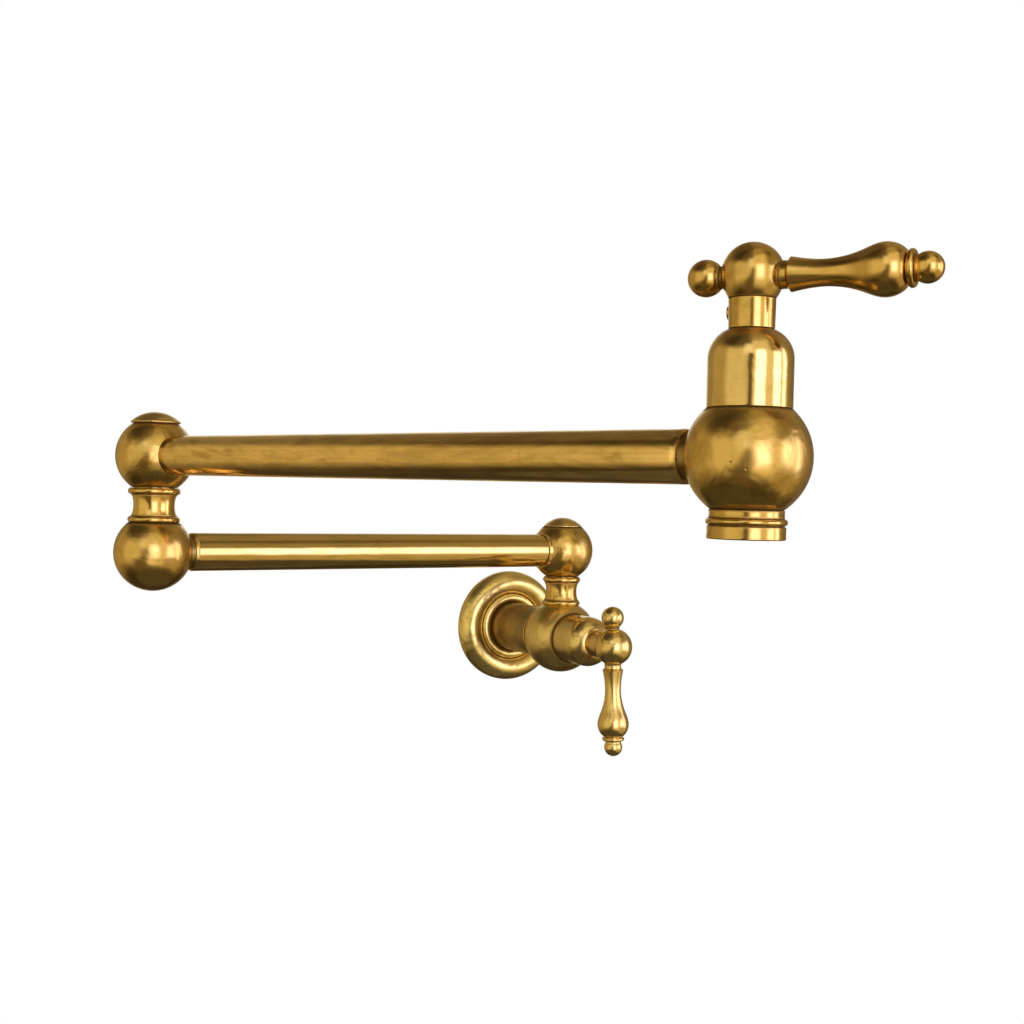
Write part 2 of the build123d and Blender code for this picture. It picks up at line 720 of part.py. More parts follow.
for post_name, arm_name, swivel, arm, ball_radius, foot, bead, neck, cap, cap_seat in swivels:
    outline = outline_plane(swivel)
    axis = turning_axis(swivel)
    ball_foot = sqrt(ball_radius**2 - (bead - upper_seat_inset) ** 2)
    ball_top = sqrt(ball_radius**2 - cap_seat**2)
    head = -ball_foot - turning_gap
    register_radius = bead - upper_seat_inset - register_inset
    register_top = head + register_depth
    seal_level = chamber_half_height + seal_land / 2

    # Post: a hollow spool between two beads. A low register on its head centres the ball, and
    # the journal above carries two seals and four water ports
    with BuildPart() as post:
        neck_foot = foot + bead_height + post_step_height
        neck_head = head - bead_height - post_step_height
        with BuildSketch(outline):
            with BuildLine():
                lower_bead = ThreePointArc(
                    (bead - bead_bulge, foot),
                    (bead, foot + bead_height / 2),
                    (bead - bead_bulge, foot + bead_height),
                )
                upper_bead = ThreePointArc(
                    (bead - bead_bulge, head - bead_height),
                    (bead, head - bead_height / 2),
                    (bead - bead_bulge, head),
                )
                hollow = ThreePointArc(
                    (neck + post_flare, neck_foot),
                    (neck, (neck_foot + neck_head) / 2),
                    (neck + post_flare, neck_head),
                )
                Polyline(
                    lower_bead @ 1,
                    (neck + post_step, foot + bead_height),
                    (neck + post_step, neck_foot),
                    hollow @ 0,
                )
                Polyline(
                    hollow @ 1,
                    (neck + post_step, neck_head),
                    (neck + post_step, head - bead_height),
                    upper_bead @ 0,
                )
                Polyline(
                    upper_bead @ 1,
                    (register_radius, head),
                    (register_radius, register_top),
                    (journal_radius, register_top),
                    (journal_radius, journal_top),
                    (stud_radius, journal_top),
                    (stud_radius, nut_top),
                    (0, nut_top),
                    (0, foot - post_thread_length),
                    (post_thread_radius, foot - post_thread_length),
                    (post_thread_radius, foot),
                    lower_bead @ 0,
                )
            make_face()
        revolve(axis=axis)
        with BuildSketch(outline):
            with GridLocations(0, seal_level * 2, 1, 2):
                with Locations((journal_radius - seal_groove_depth / 2, 0)):
                    Rectangle(seal_groove_depth, seal_groove_width)
        revolve(axis=axis, mode=Mode.SUBTRACT)
        bore(swivel, waterway_radius, foot - post_thread_length, port_radius + port_headroom)
        for way in (swivel.x_dir, swivel.y_dir):
            with BuildSketch(side_plane(swivel, way)):
                Circle(port_radius)
            extrude(amount=journal_radius + running_gap, both=True, mode=Mode.SUBTRACT)
    save(post, f"{post_name}_post")

    # Two O-rings on the journal
    with BuildPart() as seals:
        seal_section = (seal_groove_depth - running_gap) / 2
        with BuildSketch(outline):
            with GridLocations(0, seal_level * 2, 1, 2):
                with Locations((journal_radius - seal_groove_depth / 2, 0)):
                    Circle(seal_section)
        revolve(axis=axis)
    save(seals, f"{post_name}_seals")

    # Hexagon nut that holds the ball down on the post
    with BuildPart() as nut:
        with BuildSketch(swivel.offset(journal_top)):
            RegularPolygon(nut_radius, 6)
            Circle(stud_radius + fit_gap, mode=Mode.SUBTRACT)
        extrude(amount=nut_height)
    save(nut, f"{post_name}_nut")

    # Ball that turns on the post, with the arm's socket in its side
    with BuildPart() as ball:
        flat_ball(swivel, ball_radius, ball_foot, ball_top)
        if arm is first_arm:
            split(bisect_by=arm.offset(ferrule_seat), keep=Keep.BOTTOM)
        bore(swivel, journal_radius + running_gap, -ball_foot, ball_top)
        bore(swivel, register_radius + running_gap, -ball_foot, register_top + turning_gap)
        bore(swivel, chamber_radius, -chamber_half_height, chamber_half_height)
        bore(swivel, cap_bore_radius, shelf, ball_top)
        bore(arm, waterway_radius, 0, tube_seat)
        bore(arm, tube_radius + fit_gap, tube_seat, ball_radius)
    save(ball, f"{arm_name}_ball")

    # Domed cap that closes the ball's top
    with BuildPart() as cap_piece:
        rim_top = ball_top + cap_rim
        dome_foot = cap - cap_rim / 2
        dome_radius = (dome_foot**2 + cap_rise**2) / (2 * cap_rise)
        dome_span = degrees(asin(dome_foot / dome_radius))
        with BuildSketch(outline):
            with BuildLine():
                rim_edge = ThreePointArc(
                    (dome_foot, ball_top),
                    (cap, ball_top + cap_rim / 2),
                    (dome_foot, rim_top),
                )
                dome_side = CenterArc(
                    (0, rim_top + cap_rise - dome_radius), dome_radius, 90 - dome_span, dome_span
                )
                Polyline(
                    dome_side @ 1,
                    (0, nut_top + nut_headroom),
                    (cap_bore_radius - fit_gap, nut_top + nut_headroom),
                    (cap_bore_radius - fit_gap, ball_top),
                    rim_edge @ 0,
                )
            make_face()
        revolve(axis=axis)
    save(cap_piece, f"{arm_name}_cap")

# Arm tubes, each seated in a ball and pushed over a spigot
for arm, label, length in (
    (first_arm, "first_arm_tube", first_arm_reach - first_tube_end),
    (second_arm, "second_arm_tube", second_arm_reach - second_tube_end),
):
    with BuildPart() as tube:
        ring(arm, tube_radius, inner_tube_radius, tube_seat, length)
        chamfer(rim_edges(tube), tube_edge)
    save(tube, label)

# Ferrule where the first tube leaves its ball
with BuildPart() as first_arm_ferrule:
    ferrule_end = ferrule_seat + ferrule_length
    ring(first_arm, ferrule_radius, tube_radius + fit_gap, ferrule_seat, ferrule_end)
    chamfer(rim_edges(first_arm_ferrule), tube_edge)
save(first_arm_ferrule, "first_arm_ferrule")

# Nozzle: threaded into the outlet ball, with a neck, a bead and a plain lip
with BuildPart() as nozzle:
    bead_top = -nozzle_seat - nozzle_neck_length
    bead_foot = bead_top - nozzle_bead_height
    lip_top = bead_foot - nozzle_lip_gap
    lip_foot = lip_top - nozzle_lip_length
    aerator_seat = lip_foot + aerator_depth
    with BuildSketch(outline_plane(outlet_valve)):
        with BuildLine():
            nozzle_bead = ThreePointArc(
                (nozzle_neck_radius, bead_top),
                (nozzle_bead_radius, (bead_top + bead_foot) / 2),
                (nozzle_neck_radius, bead_foot),
            )
            Polyline(
                nozzle_bead @ 1,
                (nozzle_neck_radius, lip_top),
                (nozzle_lip_radius, lip_top),
                (nozzle_lip_radius, lip_foot),
                (aerator_radius + fit_gap, lip_foot),
                (aerator_radius + fit_gap, aerator_seat),
                (nozzle_bore_radius, aerator_seat),
                (nozzle_bore_radius, nozzle_thread_length - nozzle_seat),
                (nozzle_thread_radius, nozzle_thread_length - nozzle_seat),
                (nozzle_thread_radius, -nozzle_seat),
                (nozzle_neck_radius, -nozzle_seat),
                nozzle_bead @ 0,
            )
        make_face()
    revolve(axis=turning_axis(outlet_valve))
save(nozzle, "nozzle")

# Aerator: washer, threaded housing and perforated screen, recessed in the nozzle
washer_foot = aerator_seat - aerator_washer_thickness
housing_foot = washer_foot - aerator_height
screen_top = housing_foot + aerator_screen_thickness
with BuildPart() as aerator_washer:
    ring(outlet_valve, aerator_radius, nozzle_bore_radius, washer_foot, aerator_seat)
save(aerator_washer, "aerator_washer")

with BuildPart() as aerator_housing:
    ring(outlet_valve, aerator_radius, aerator_radius - aerator_wall, screen_top, washer_foot)
    ring(outlet_valve, aerator_radius, aerator_radius - aerator_wall * 2, housing_foot, screen_top)
save(aerator_housing, "aerator_housing")

with BuildPart() as aerator_screen:
    with BuildSketch(outlet_valve.offset(screen_top)):
        Circle(aerator_radius - aerator_wall - fit_gap)
        Circle(aerator_hole_radius, mode=Mode.SUBTRACT)
        for count, ring_radius in (
            (aerator_inner_holes, aerator_inner_ring),
            (aerator_outer_holes, aerator_outer_ring),
        ):
            with PolarLocations(ring_radius, count):
                Circle(aerator_hole_radius, mode=Mode.SUBTRACT)
    extrude(amount=aerator_screen_thickness)
save(aerator_screen, "aerator_screen")
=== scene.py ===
import json
import math
from collections import namedtuple

import bmesh
import bpy
import numpy as np
from bpy.props import FloatProperty, FloatVectorProperty, IntProperty, PointerProperty
from bpy.types import Operator, Panel, PropertyGroup
from mathutils import Matrix, Vector


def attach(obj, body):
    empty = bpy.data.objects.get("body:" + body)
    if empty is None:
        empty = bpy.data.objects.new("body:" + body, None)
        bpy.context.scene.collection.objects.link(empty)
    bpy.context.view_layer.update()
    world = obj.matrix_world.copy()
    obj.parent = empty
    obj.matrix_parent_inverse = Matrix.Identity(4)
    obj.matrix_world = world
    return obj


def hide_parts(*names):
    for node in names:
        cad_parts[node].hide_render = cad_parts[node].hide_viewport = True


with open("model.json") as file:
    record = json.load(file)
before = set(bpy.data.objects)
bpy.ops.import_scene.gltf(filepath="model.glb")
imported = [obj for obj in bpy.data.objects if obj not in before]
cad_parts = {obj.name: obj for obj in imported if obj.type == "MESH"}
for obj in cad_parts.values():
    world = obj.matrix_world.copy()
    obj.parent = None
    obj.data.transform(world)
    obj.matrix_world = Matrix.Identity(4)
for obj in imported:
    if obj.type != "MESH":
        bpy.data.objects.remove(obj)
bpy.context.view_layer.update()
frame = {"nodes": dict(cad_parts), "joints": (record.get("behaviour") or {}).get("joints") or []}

bl_info = {
    "name": "Wall mounted pot filler",
    "version": (1, 0, 0),
    "blender": (4, 5, 0),
    "location": "3D View > Sidebar > Pot filler",
    "description": "Dresses the folding wall tap in aged brass and sets up its studio",
    "category": "Object",
}

UP = Vector((0, 0, 1))
OUT = Vector((0, -1, 0))
JOINT = {joint["name"]: Vector(joint["pos_m"]) for joint in frame["joints"]}

FIT = 0.00005  # Between pieces that are turned to one size
WATERWAY = 0.004  # Radius of the way that is drilled for the water
ON_AXIS = 1e-7  # A smaller radius ends an outline at its axis
CREASE = math.radians(38)  # A sharper edge keeps its crease
WHITE = (1.0, 1.0, 1.0)


# Settings


def length(label, description, millimetres):
    """A size that a user can change, kept in metres."""
    return FloatProperty(
        name=label,
        description=description,
        default=millimetres / 1000,
        min=0.0,
        unit="LENGTH",
        precision=5,
    )


def colour(label, description, red, green, blue):
    """A linear colour that a user can change."""
    return FloatVectorProperty(
        name=label,
        description=description,
        default=(red, green, blue),
        min=0.0,
        max=1.0,
        subtype="COLOR",
    )


def share(label, description, value):
    """A share of one that a user can change."""
    return FloatProperty(name=label, description=description, default=value, min=0.0, max=1.0)


def direction(label, description, degrees):
    """An angle that a user can change, kept in radians."""
    return FloatProperty(
        name=label, description=description, default=math.radians(degrees), subtype="ANGLE"
    )


def number(label, description, value):
    """A number of copies that a user can change."""
    return IntProperty(name=label, description=description, default=value, min=1)


class PotFillerBalls(PropertyGroup):
    """The balls that the arms and valves are built on"""

    valve: length("Valve balls", "Radius of both valve balls", 20.0)
    first: length("First arm's ball", "Radius of the ball above the wall valve", 17.0)
    elbow: length("Elbow balls", "Radius of the elbow's two balls", 17.9)
    elbow_height: length("Elbow height", "Between the elbow's ball middles", 44.6)
    swivel_height: length("Swivel height", "Wall valve to the first arm's ball", 48.0)


class PotFillerTubes(PropertyGroup):
    """Arm tubes, their necks and the ferrule"""

    radius: length("Tube radius", "Outer radius of both arm tubes", 9.0)
    wall: length("Tube wall", "Thickness of the tubes", 1.5)
    edge: length("Tube edge", "Bevel round a tube's end", 0.4)
    seat: length("Tube seat", "Swivel axis to the tube's inner end", 11.5)
    neck: length("Neck radius", "Neck between a tube and the ball it ends in", 8.0)
    elbow_neck: length("Elbow neck", "Length that shows at the elbow", 1.8)
    outlet_neck: length("Outlet neck", "Length that shows at the outlet ball", 3.2)
    ferrule: length("Ferrule radius", "Ring where the first tube leaves its ball", 9.9)
    ferrule_length: length("Ferrule length", "Length of that ring", 2.0)


class PotFillerSwivels(PropertyGroup):
    """Swivel posts, their journals and the caps above them"""

    journal: length("Journal radius", "Part of the post inside the ball", 7.0)
    chamber: length("Chamber radius", "Water chamber round the journal", 9.0)
    chamber_half: length("Chamber half height", "Half of the chamber's height", 4.5)
    land: length("Seal land", "Bore above and below the chamber", 4.5)
    thread: length("Post thread", "Radius of the thread in the ball below", 6.45)
    thread_length: length("Post thread length", "Length of that thread", 6.5)
    stud: length("Stud radius", "Threaded end under the nut", 4.4)
    nut: length("Nut radius", "Nut over its corners", 8.0)
    nut_height: length("Nut height", "Thickness of the nut", 2.0)
    bead_height: length("Bead height", "Height of each bead", 3.0)
    bead_bulge: length("Bead bulge", "How far a bead stands out", 1.0)
    step: length("Step", "Thin ring beside each bead, past the neck", 0.9)
    step_height: length("Step height", "Height of that ring", 0.7)
    flare: length("Flare", "How much the neck widens to its ends", 0.7)
    wall_bead: length("Wall post's beads", "Radius of its beads", 10.5)
    wall_neck: length("Wall post's neck", "Radius at its waist", 8.5)
    elbow_bead: length("Elbow post's beads", "Radius of its beads", 11.9)
    elbow_neck: length("Elbow post's neck", "Radius at its waist", 9.35)
    lower_inset: length("Lower inset", "Bead past the flat that it stands on", 0.3)
    upper_inset: length("Upper inset", "Bead past the flat that turns on it", 1.75)
    first_cap: length("First cap", "Radius of the first arm's cap", 10.5)
    first_cap_seat: length("First cap's seat", "Radius of the flat under it", 10.7)
    second_cap: length("Second cap", "Radius of the second arm's cap", 11.3)
    second_cap_seat: length("Second cap's seat", "Radius of the flat under it", 9.8)
    cap_rim: length("Cap rim", "Thickness of a cap's rim", 0.9)
    cap_rise: length("Cap rise", "Height of a cap's dome", 4.2)
    register_inset: length("Register inset", "Flat left round the register", 0.7)
    register_depth: length("Register depth", "Low step that centres the ball", 0.8)


class PotFillerInlet(PropertyGroup):
    """Wall flange, inlet shank and its thread"""

    flange: length("Flange radius", "Outer radius of the rose", 32.4)
    edge: length("Flange edge", "Straight edge at the wall", 1.0)
    height: length("Flange height", "Height of the dome's crest", 9.8)
    crest: length("Crest radius", "Radius of the dome's crest", 26.0)
    groove: length("Groove radius", "Radius of the groove", 19.4)
    groove_height: length("Groove height", "Height of the groove above the wall", 6.2)
    bead_height: length("Bead height", "Height of the inner bead", 8.4)
    wall: length("Flange wall", "Thickness of the dome", 1.7)
    gasket: length("Gasket radius", "Outer radius of the gasket", 19.0)
    gasket_thickness: length("Gasket thickness", "Between hub and wall", 1.5)
    shank: length("Shank radius", "Radius of the shank", 14.1)
    spigot: length("Spigot radius", "Shank's end in the valve ball", 11.5)
    spigot_length: length("Spigot length", "Length of that end", 5.5)
    bore: length("Inlet radius", "Crest of the half inch female thread", 9.5)
    bore_depth: length("Inlet depth", "Length of the threaded bore", 16.0)
    thread_depth: length("Thread depth", "Height of the thread's ridges", 0.9)
    thread_pitch: length("Thread pitch", "Fourteen turns to the inch", 1.814)
    ring: length("Ring radius", "Ring between shank and ball", 15.2)
    ring_length: length("Ring length", "Thickness of that ring", 2.2)


class PotFillerBonnet(PropertyGroup):
    """Bonnet over each valve's cartridge"""

    radius: length("Bonnet radius", "Straight part", 13.4)
    straight: length("Straight part", "Height of the straight part", 15.3)
    dome: length("Dome radius", "Radius of the round shoulder", 9.9)
    wall: length("Bonnet wall", "Thickness of the bonnet", 1.2)
    thread: length("Thread radius", "Where it screws on the cartridge", 8.05)
    thread_start: length("Thread start", "Above the ball's middle", 25.0)
    crown: length("Crown", "Underside of the top, above the ball's middle", 31.2)
    spindle: length("Spindle bore", "Radius of the hole for the spindle", 3.05)
    chamber: length("Chamber bore", "Radius of the cartridge's bore in the ball", 9.05)
    floor: length("Chamber floor", "Behind the ball's middle", 4.5)
    gap: length("Turning gap", "Between faces that turn past each other", 0.2)


class PotFillerHandle(PropertyGroup):
    """Hub, lever, finial and set screw of each handle"""

    collar: length("Collar radius", "Foot of the collar", 7.2)
    collar_flare: length("Collar flare", "How much the collar widens upwards", 0.15)
    collar_height: length("Collar height", "Height of the collar", 9.6)
    seam: length("Seam", "Groove between collar and ball", 0.3)
    hub: length("Hub radius", "Radius of the hub's ball", 9.8)
    hub_drop: length("Hub drop", "Half height of its fuller lower half", 11.4)
    drop: length("Lever drop", "Lever's axis below the hub's middle", 0.8)
    thread: length("Thread radius", "Thread of lever and finial", 2.5)
    thread_length: length("Thread length", "Length of that thread", 5.0)
    screw_level: length("Screw level", "Set screw above the collar's foot", 5.2)
    screw: length("Screw radius", "Thread of the set screw", 1.5)
    screw_head: length("Screw head", "Radius of its head", 2.3)
    screw_height: length("Screw head's height", "Height of its head", 0.8)
    screw_seat: length("Screw seat", "Depth of the flat in the collar", 0.3)
    stem: length("Stem radius", "Lever's stem at the hub", 4.4)
    stem_length: length("Stem length", "Length of that stem", 2.6)
    bevel: length("Root bevel", "Cone between stem and root", 1.0)
    root: length("Root radius", "Thick root of the grip", 5.45)
    waist: length("Waist radius", "Thinnest place of the grip", 4.2)
    root_to_waist: length("Root to waist", "Along the lever", 9.3)
    flank: length("Flank radius", "Where the grip swells", 6.15)
    waist_to_flank: length("Waist to flank", "Along the lever", 11.9)
    bulb: length("Bulb radius", "Thickest place of the grip", 8.25)
    flank_to_bulb: length("Flank to bulb", "Along the lever", 7.7)
    bulb_end: length("Bulb's end", "Radius where the bulb ends", 5.1)
    bulb_to_end: length("Bulb to its end", "Along the lever", 6.0)
    ring_gap: length("Ring gap", "Groove before the ring", 0.4)
    ring: length("Ring radius", "Thin ring before the tip", 5.85)
    ring_height: length("Ring height", "Thickness of that ring", 1.9)
    ring_crown: length("Ring crown", "How far its rounded edge swells", 0.5)
    groove: length("Groove radius", "Groove beside the ring", 4.1)
    tip: length("Tip radius", "Ball at the lever's tip", 4.8)
    tip_spacing: length("Tip spacing", "Ring to the tip's middle", 3.5)
    finial: length("Finial radius", "Ball opposite the lever", 5.9)
    finial_neck: length("Finial neck", "Radius of its neck", 3.6)
    finial_foot: length("Finial foot", "Radius at the hub", 4.3)
    finial_rise: length("Finial rise", "Foot's length", 1.3)
    finial_spacing: length("Finial spacing", "Hub's middle to the finial's", 15.2)
    outlet_heading: direction("Outlet lever's heading", "From +X, seen from above", -55.5)
    wall_lean: direction("Wall lever's lean", "From plumb, towards +X", 2.0)


class PotFillerNozzle(PropertyGroup):
    """Nozzle and aerator under the outlet ball"""

    flat: length("Nozzle's flat", "Radius of the flat that it stands on", 11.3)
    neck: length("Neck radius", "Nozzle's neck", 11.75)
    neck_length: length("Neck length", "Length of the neck", 2.6)
    bead: length("Bead radius", "Nozzle's bead", 12.76)
    bead_height: length("Bead height", "Height of the bead", 2.2)
    lip: length("Lip radius", "Plain lip under the bead", 12.3)
    lip_gap: length("Lip gap", "Groove between bead and lip", 0.3)
    lip_length: length("Lip length", "Length of the lip", 4.1)
    thread: length("Thread radius", "Thread in the ball", 9.5)
    thread_length: length("Thread length", "Length of that thread", 6.0)
    bore: length("Bore radius", "Waterway through the nozzle", 6.5)
    pocket: length("Pocket radius", "Where the aerator sits", 9.55)
    pocket_depth: length("Pocket depth", "Lip's end to the washer's seat", 8.0)
    screen: length("Screen radius", "Perforated screen", 8.15)
    screen_level: length("Screen level", "Lip's end to the screen's top", 4.6)
    screen_thickness: length("Screen thickness", "Thickness of the screen", 1.0)
    hole: length("Hole radius", "Each hole of the screen", 0.8)
    inner_ring: length("Inner ring", "Radius of the inner ring of holes", 2.8)
    outer_ring: length("Outer ring", "Radius of the outer ring of holes", 5.6)
    inner_count: number("Inner holes", "Holes in the inner ring", 6)
    outer_count: number("Outer holes", "Holes in the outer ring", 12)


class PotFillerMetal(PropertyGroup):
    """Colours and finish of the brass"""

    gold: colour("Gold", "Brass of the balls, posts and levers", 0.66, 0.41, 0.12)
    olive: colour("Olive", "Brass under its grey-green patina", 0.47, 0.31, 0.085)
    brown: colour("Brown", "Brass under its brown patina", 0.43, 0.24, 0.05)
    orange: colour("Orange", "Warm tarnish beside the seams", 0.38, 0.215, 0.055)
    # Soot is old tarnish in the grooves and pits, and also the painted shade at the seams
    soot: colour("Soot", "Old tarnish in the grooves", 0.07, 0.04, 0.013)
    pale: colour("Pale", "First arm's tube and outlet bonnet", 0.715, 0.482, 0.178)
    # On the caps, this paler brass is painted light for the bright ceiling that they mirror
    light: colour("Light", "Brass of the wall valve and the caps", 0.71, 0.50, 0.185)
    # Paler brass of the flange: its yellower tone, and painted light for the brighter
    # reflections on its face
    rose: colour("Rose", "Wall flange, that is wiped clean", 0.86, 0.64, 0.24)
    # Paler copy of the brass for the second arm's tube: painted light, for the brighter
    # reflections along it
    rubbed: colour("Rubbed", "Second arm's tube, that hands hold", 0.95, 0.63, 0.23)
    # Darker brass: the shank's own darker tone, and painted shade on the necks between tube and
    # ball
    dull: colour("Dull", "Shank and necks, that are never rubbed", 0.27, 0.18, 0.06)
    mottle: share("Mottling", "How much the patina shows", 0.75)
    satin: share("Satin", "Roughness of most pieces", 0.22)
    polish: share("Polish", "Roughness of posts, nozzle and bonnet", 0.11)


class PotFillerStudio(PropertyGroup):
    """Camera, floor and light"""

    camera: FloatVectorProperty(
        name="Camera",
        description="Where the camera stands",
        default=(-0.3911, -0.7458, 0.0797),
        subtype="TRANSLATION",
        unit="LENGTH",
    )
    yaw: direction("Yaw", "Turn to the right of the way into the wall", 27.78)
    pitch: direction("Pitch", "Tilt upwards", -0.80)
    roll: direction("Roll", "Turn of the camera, clockwise", 1.43)
    focal: length("Focal length", "Of a 36 mm wide sensor", 49.219)
    floor: colour("Floor", "The pale floor", 0.22, 0.22, 0.21)
    floor_radius: length("Floor radius", "It fades into the backdrop at its edge", 400.0)
    floor_drop: length("Floor drop", "Floor below the inlet", 420.0)
    walls: colour("Walls", "Walls of the room", 1.0, 0.82, 0.42)
    cards: colour("Cards", "Pale boards beside the tap", 1.0, 0.92, 0.60)
    panes: colour("Panes", "Windows before the tap", 0.75, 0.75, 1.0)
    shade: colour("Shade", "Shaded parts of the room", 1.0, 0.78, 0.46)


class PotFillerSettings(PropertyGroup):
    """All settings of the pot filler"""

    balls: PointerProperty(type=PotFillerBalls)
    tubes: PointerProperty(type=PotFillerTubes)
    swivels: PointerProperty(type=PotFillerSwivels)
    inlet: PointerProperty(type=PotFillerInlet)
    bonnet: PointerProperty(type=PotFillerBonnet)
    handle: PointerProperty(type=PotFillerHandle)
    nozzle: PointerProperty(type=PotFillerNozzle)
    metal: PointerProperty(type=PotFillerMetal)
    studio: PointerProperty(type=PotFillerStudio)


# Node trees


class Wire:
    """A value on its way through a node tree. Sums on it add Math nodes."""

    def __init__(self, board, socket):
        self.board = board
        self.socket = socket

    def __add__(self, other):
        return self.board.maths("ADD", self, other)

    def __sub__(self, other):
        return self.board.maths("SUBTRACT", self, other)

    def __rsub__(self, other):
        return self.board.maths("SUBTRACT", other, self)

    def __mul__(self, other):
        return self.board.maths("MULTIPLY", self, other)

    __radd__ = __add__
    __rmul__ = __mul__


class Board:
    """A node tree that is being wired up."""

    def __init__(self, tree):
        self.tree = tree
        self.inputs = {}  # What a modifier is given, by its socket's identifier

    def node(self, kind, sockets=None, out=0, **settings):
        """Add a node, set it up, feed its sockets and return one of its outputs."""
        node = self.tree.nodes.new(kind)
        for name, value in settings.items():
            setattr(node, name, value)
        for name, value in (sockets or {}).items():
            socket = node.inputs[name]
            wires = value if isinstance(value, list) else [value]
            if isinstance(wires[0], Wire):
                for wire in wires:
                    self.tree.links.new(wire.socket, socket)
            elif socket.type == "RGBA":
                socket.default_value = (*value, 1.0)
            else:
                socket.default_value = value
        return Wire(self, node.outputs[out]) if node.outputs else None

    def maths(self, operation, *values):
        return self.node("ShaderNodeMath", dict(enumerate(values)), operation=operation)

    def measure(self, operation, *vectors):
        """A number that comes from vectors, such as a length or a dot product."""
        return self.node(
            "ShaderNodeVectorMath", dict(enumerate(vectors)), 1, operation=operation
        )

    def blend(self, first, second, amount):
        """Mix two colours."""
        return self.node(
            "ShaderNodeMix", {0: amount, 6: first, 7: second}, 2, data_type="RGBA"
        )

    def rise(self, value, low, high, start=0.0, end=1.0):
        """Ease a value from start to end while it goes from low to high."""
        return self.node(
            "ShaderNodeMapRange",
            {"Value": value, 1: low, 2: high, 3: start, 4: end},
            interpolation_type="SMOOTHSTEP",
        )

    def fall(self, value, low, high):
        """Ease from one to zero while a value goes from low to high."""
        return self.rise(value, low, high, 1.0, 0.0)

    def noise(self, place, scale, detail=2.0, rough=0.5, warp=0.0):
        sockets = {"Vector": place, "Scale": scale, "Detail": detail}
        return self.node(
            "ShaderNodeTexNoise", {**sockets, "Roughness": rough, "Distortion": warp}
        )

    def join(self, x, y, z):
        return self.node("ShaderNodeCombineXYZ", {0: x, 1: y, 2: z})

    def part(self, vector, axis):
        return self.node("ShaderNodeSeparateXYZ", {0: vector}, axis)


def new_material(name):
    """An empty material and its board."""
    material = bpy.data.materials.new(name)
    material.use_nodes = True
    material.node_tree.nodes.clear()
    return material, Board(material.node_tree)


def end_material(board, shader):
    board.node("ShaderNodeOutputMaterial", {"Surface": shader})


def end_surface(board, tint, metallic, roughness, strength, distance, height):
    """End a material with its tint, its gloss and a fine relief."""
    relief = {"Strength": strength, "Distance": distance, "Height": height}
    look = {
        "Base Color": tint,
        "Metallic": metallic,
        "Roughness": roughness,
        "Normal": board.node("ShaderNodeBump", relief),
    }
    end_material(board, board.node("ShaderNodeBsdfPrincipled", look))


def brass(name, metal, base, rough, mottle, grain, lines, waves, drawn=False):
    """Aged brass: patina by place, tarnish and painted shade beside the seams, and fine lines
    left by the lathe.
    On a drawn tube the lines and the patina run along it."""
    material, board = new_material(name)
    place = board.node("ShaderNodeTexCoord", out=3)
    wrap = board.node("ShaderNodeUVMap", uv_map="around")
    grime = board.node("ShaderNodeAttribute", out=2, attribute_name="grime")
    turn = board.part(wrap, 0) * math.tau
    along = board.part(wrap, 1)
    across_it = board.maths("COSINE", turn), board.maths("SINE", turn)
    around = 9.0 if drawn else 1.2
    if drawn:
        place = board.join(*(side * 0.012 for side in across_it), along * 0.35)

    cloud = board.noise(place, 48.0, 4.0, 0.6, 1.2)
    patch = board.noise(place, 150.0, 4.0, 0.6, 0.9)
    speck = board.noise(place, 900.0, 3.0, 0.65)
    ring = board.join(*(side * around for side in across_it), along * lines)
    scored = board.noise(ring, 1.0, 3.0, 0.6)
    olive = board.rise(cloud * 0.5 + patch * 0.3 + scored * 0.2, 0.42, 0.60)
    brown = board.rise(board.noise(place, 80.0, 4.0, 0.62, 1.4), 0.50, 0.72)
    tint = board.blend(base, metal.olive, olive * mottle)
    tint = board.blend(tint, metal.brown, brown * mottle)
    warm = board.rise(grime + (patch - 0.5) * (0.6 * mottle), 0.12, 0.7)
    tint = board.blend(tint, metal.orange, warm * 0.7)
    # Soot beside the seams: old tarnish, and painted shade where pieces meet
    dark = board.rise(grime + (speck - 0.5) * 0.3, 0.62, 1.0)
    tint = board.blend(tint, metal.soot, dark * 0.85)
    pit_field = board.node(
        "ShaderNodeTexVoronoi", {"Vector": place, "Scale": 240.0}, feature="F1"
    )
    pit_here = board.rise(board.noise(place, 95.0, 1.0), 0.58, 0.66)
    pitted = min(1.0, max(0.0, mottle - 0.35) * 2.5)
    pit = board.rise(pit_field, 0.13, 0.06) * pit_here * pitted
    tint = board.blend(tint, metal.soot, pit * 0.5)

    sheen = (
        rough
        + (cloud - 0.5) * (0.20 * mottle)
        + (patch - 0.5) * (0.16 * mottle)
        + (scored - 0.5) * 0.05
        + dark * 0.25
        + warm * 0.3
        + pit * 0.2
    )
    sheen = board.maths("MAXIMUM", sheen, 0.08)
    wave = board.noise(place, 75.0, 2.0, 0.45, 0.8)
    height = wave * waves + scored * (0.35 * grain) + speck * (0.25 * grain)
    height = height + patch * (0.45 * mottle * mottle) - pit * 0.8
    end_surface(board, tint, 1.0, sheen, 0.35, 0.00022, height)
    return material


def plain(name, light, dark, rough, metallic=0.0):
    """A simple finish with a little variation, for what sits inside the tap."""
    material, board = new_material(name)
    place = board.node("ShaderNodeTexCoord", out=3)
    cloud = board.noise(place, 300.0, 3.0, 0.6)
    tint = board.blend(light, dark, board.rise(cloud, 0.35, 0.7))
    roughness = (cloud - 0.5) * 0.15 + rough
    height = board.noise(place, 1800.0, 2.0)
    end_surface(board, tint, metallic, roughness, 0.2, 0.0001, height)
    return material


MADE = {}  # Finishes by name


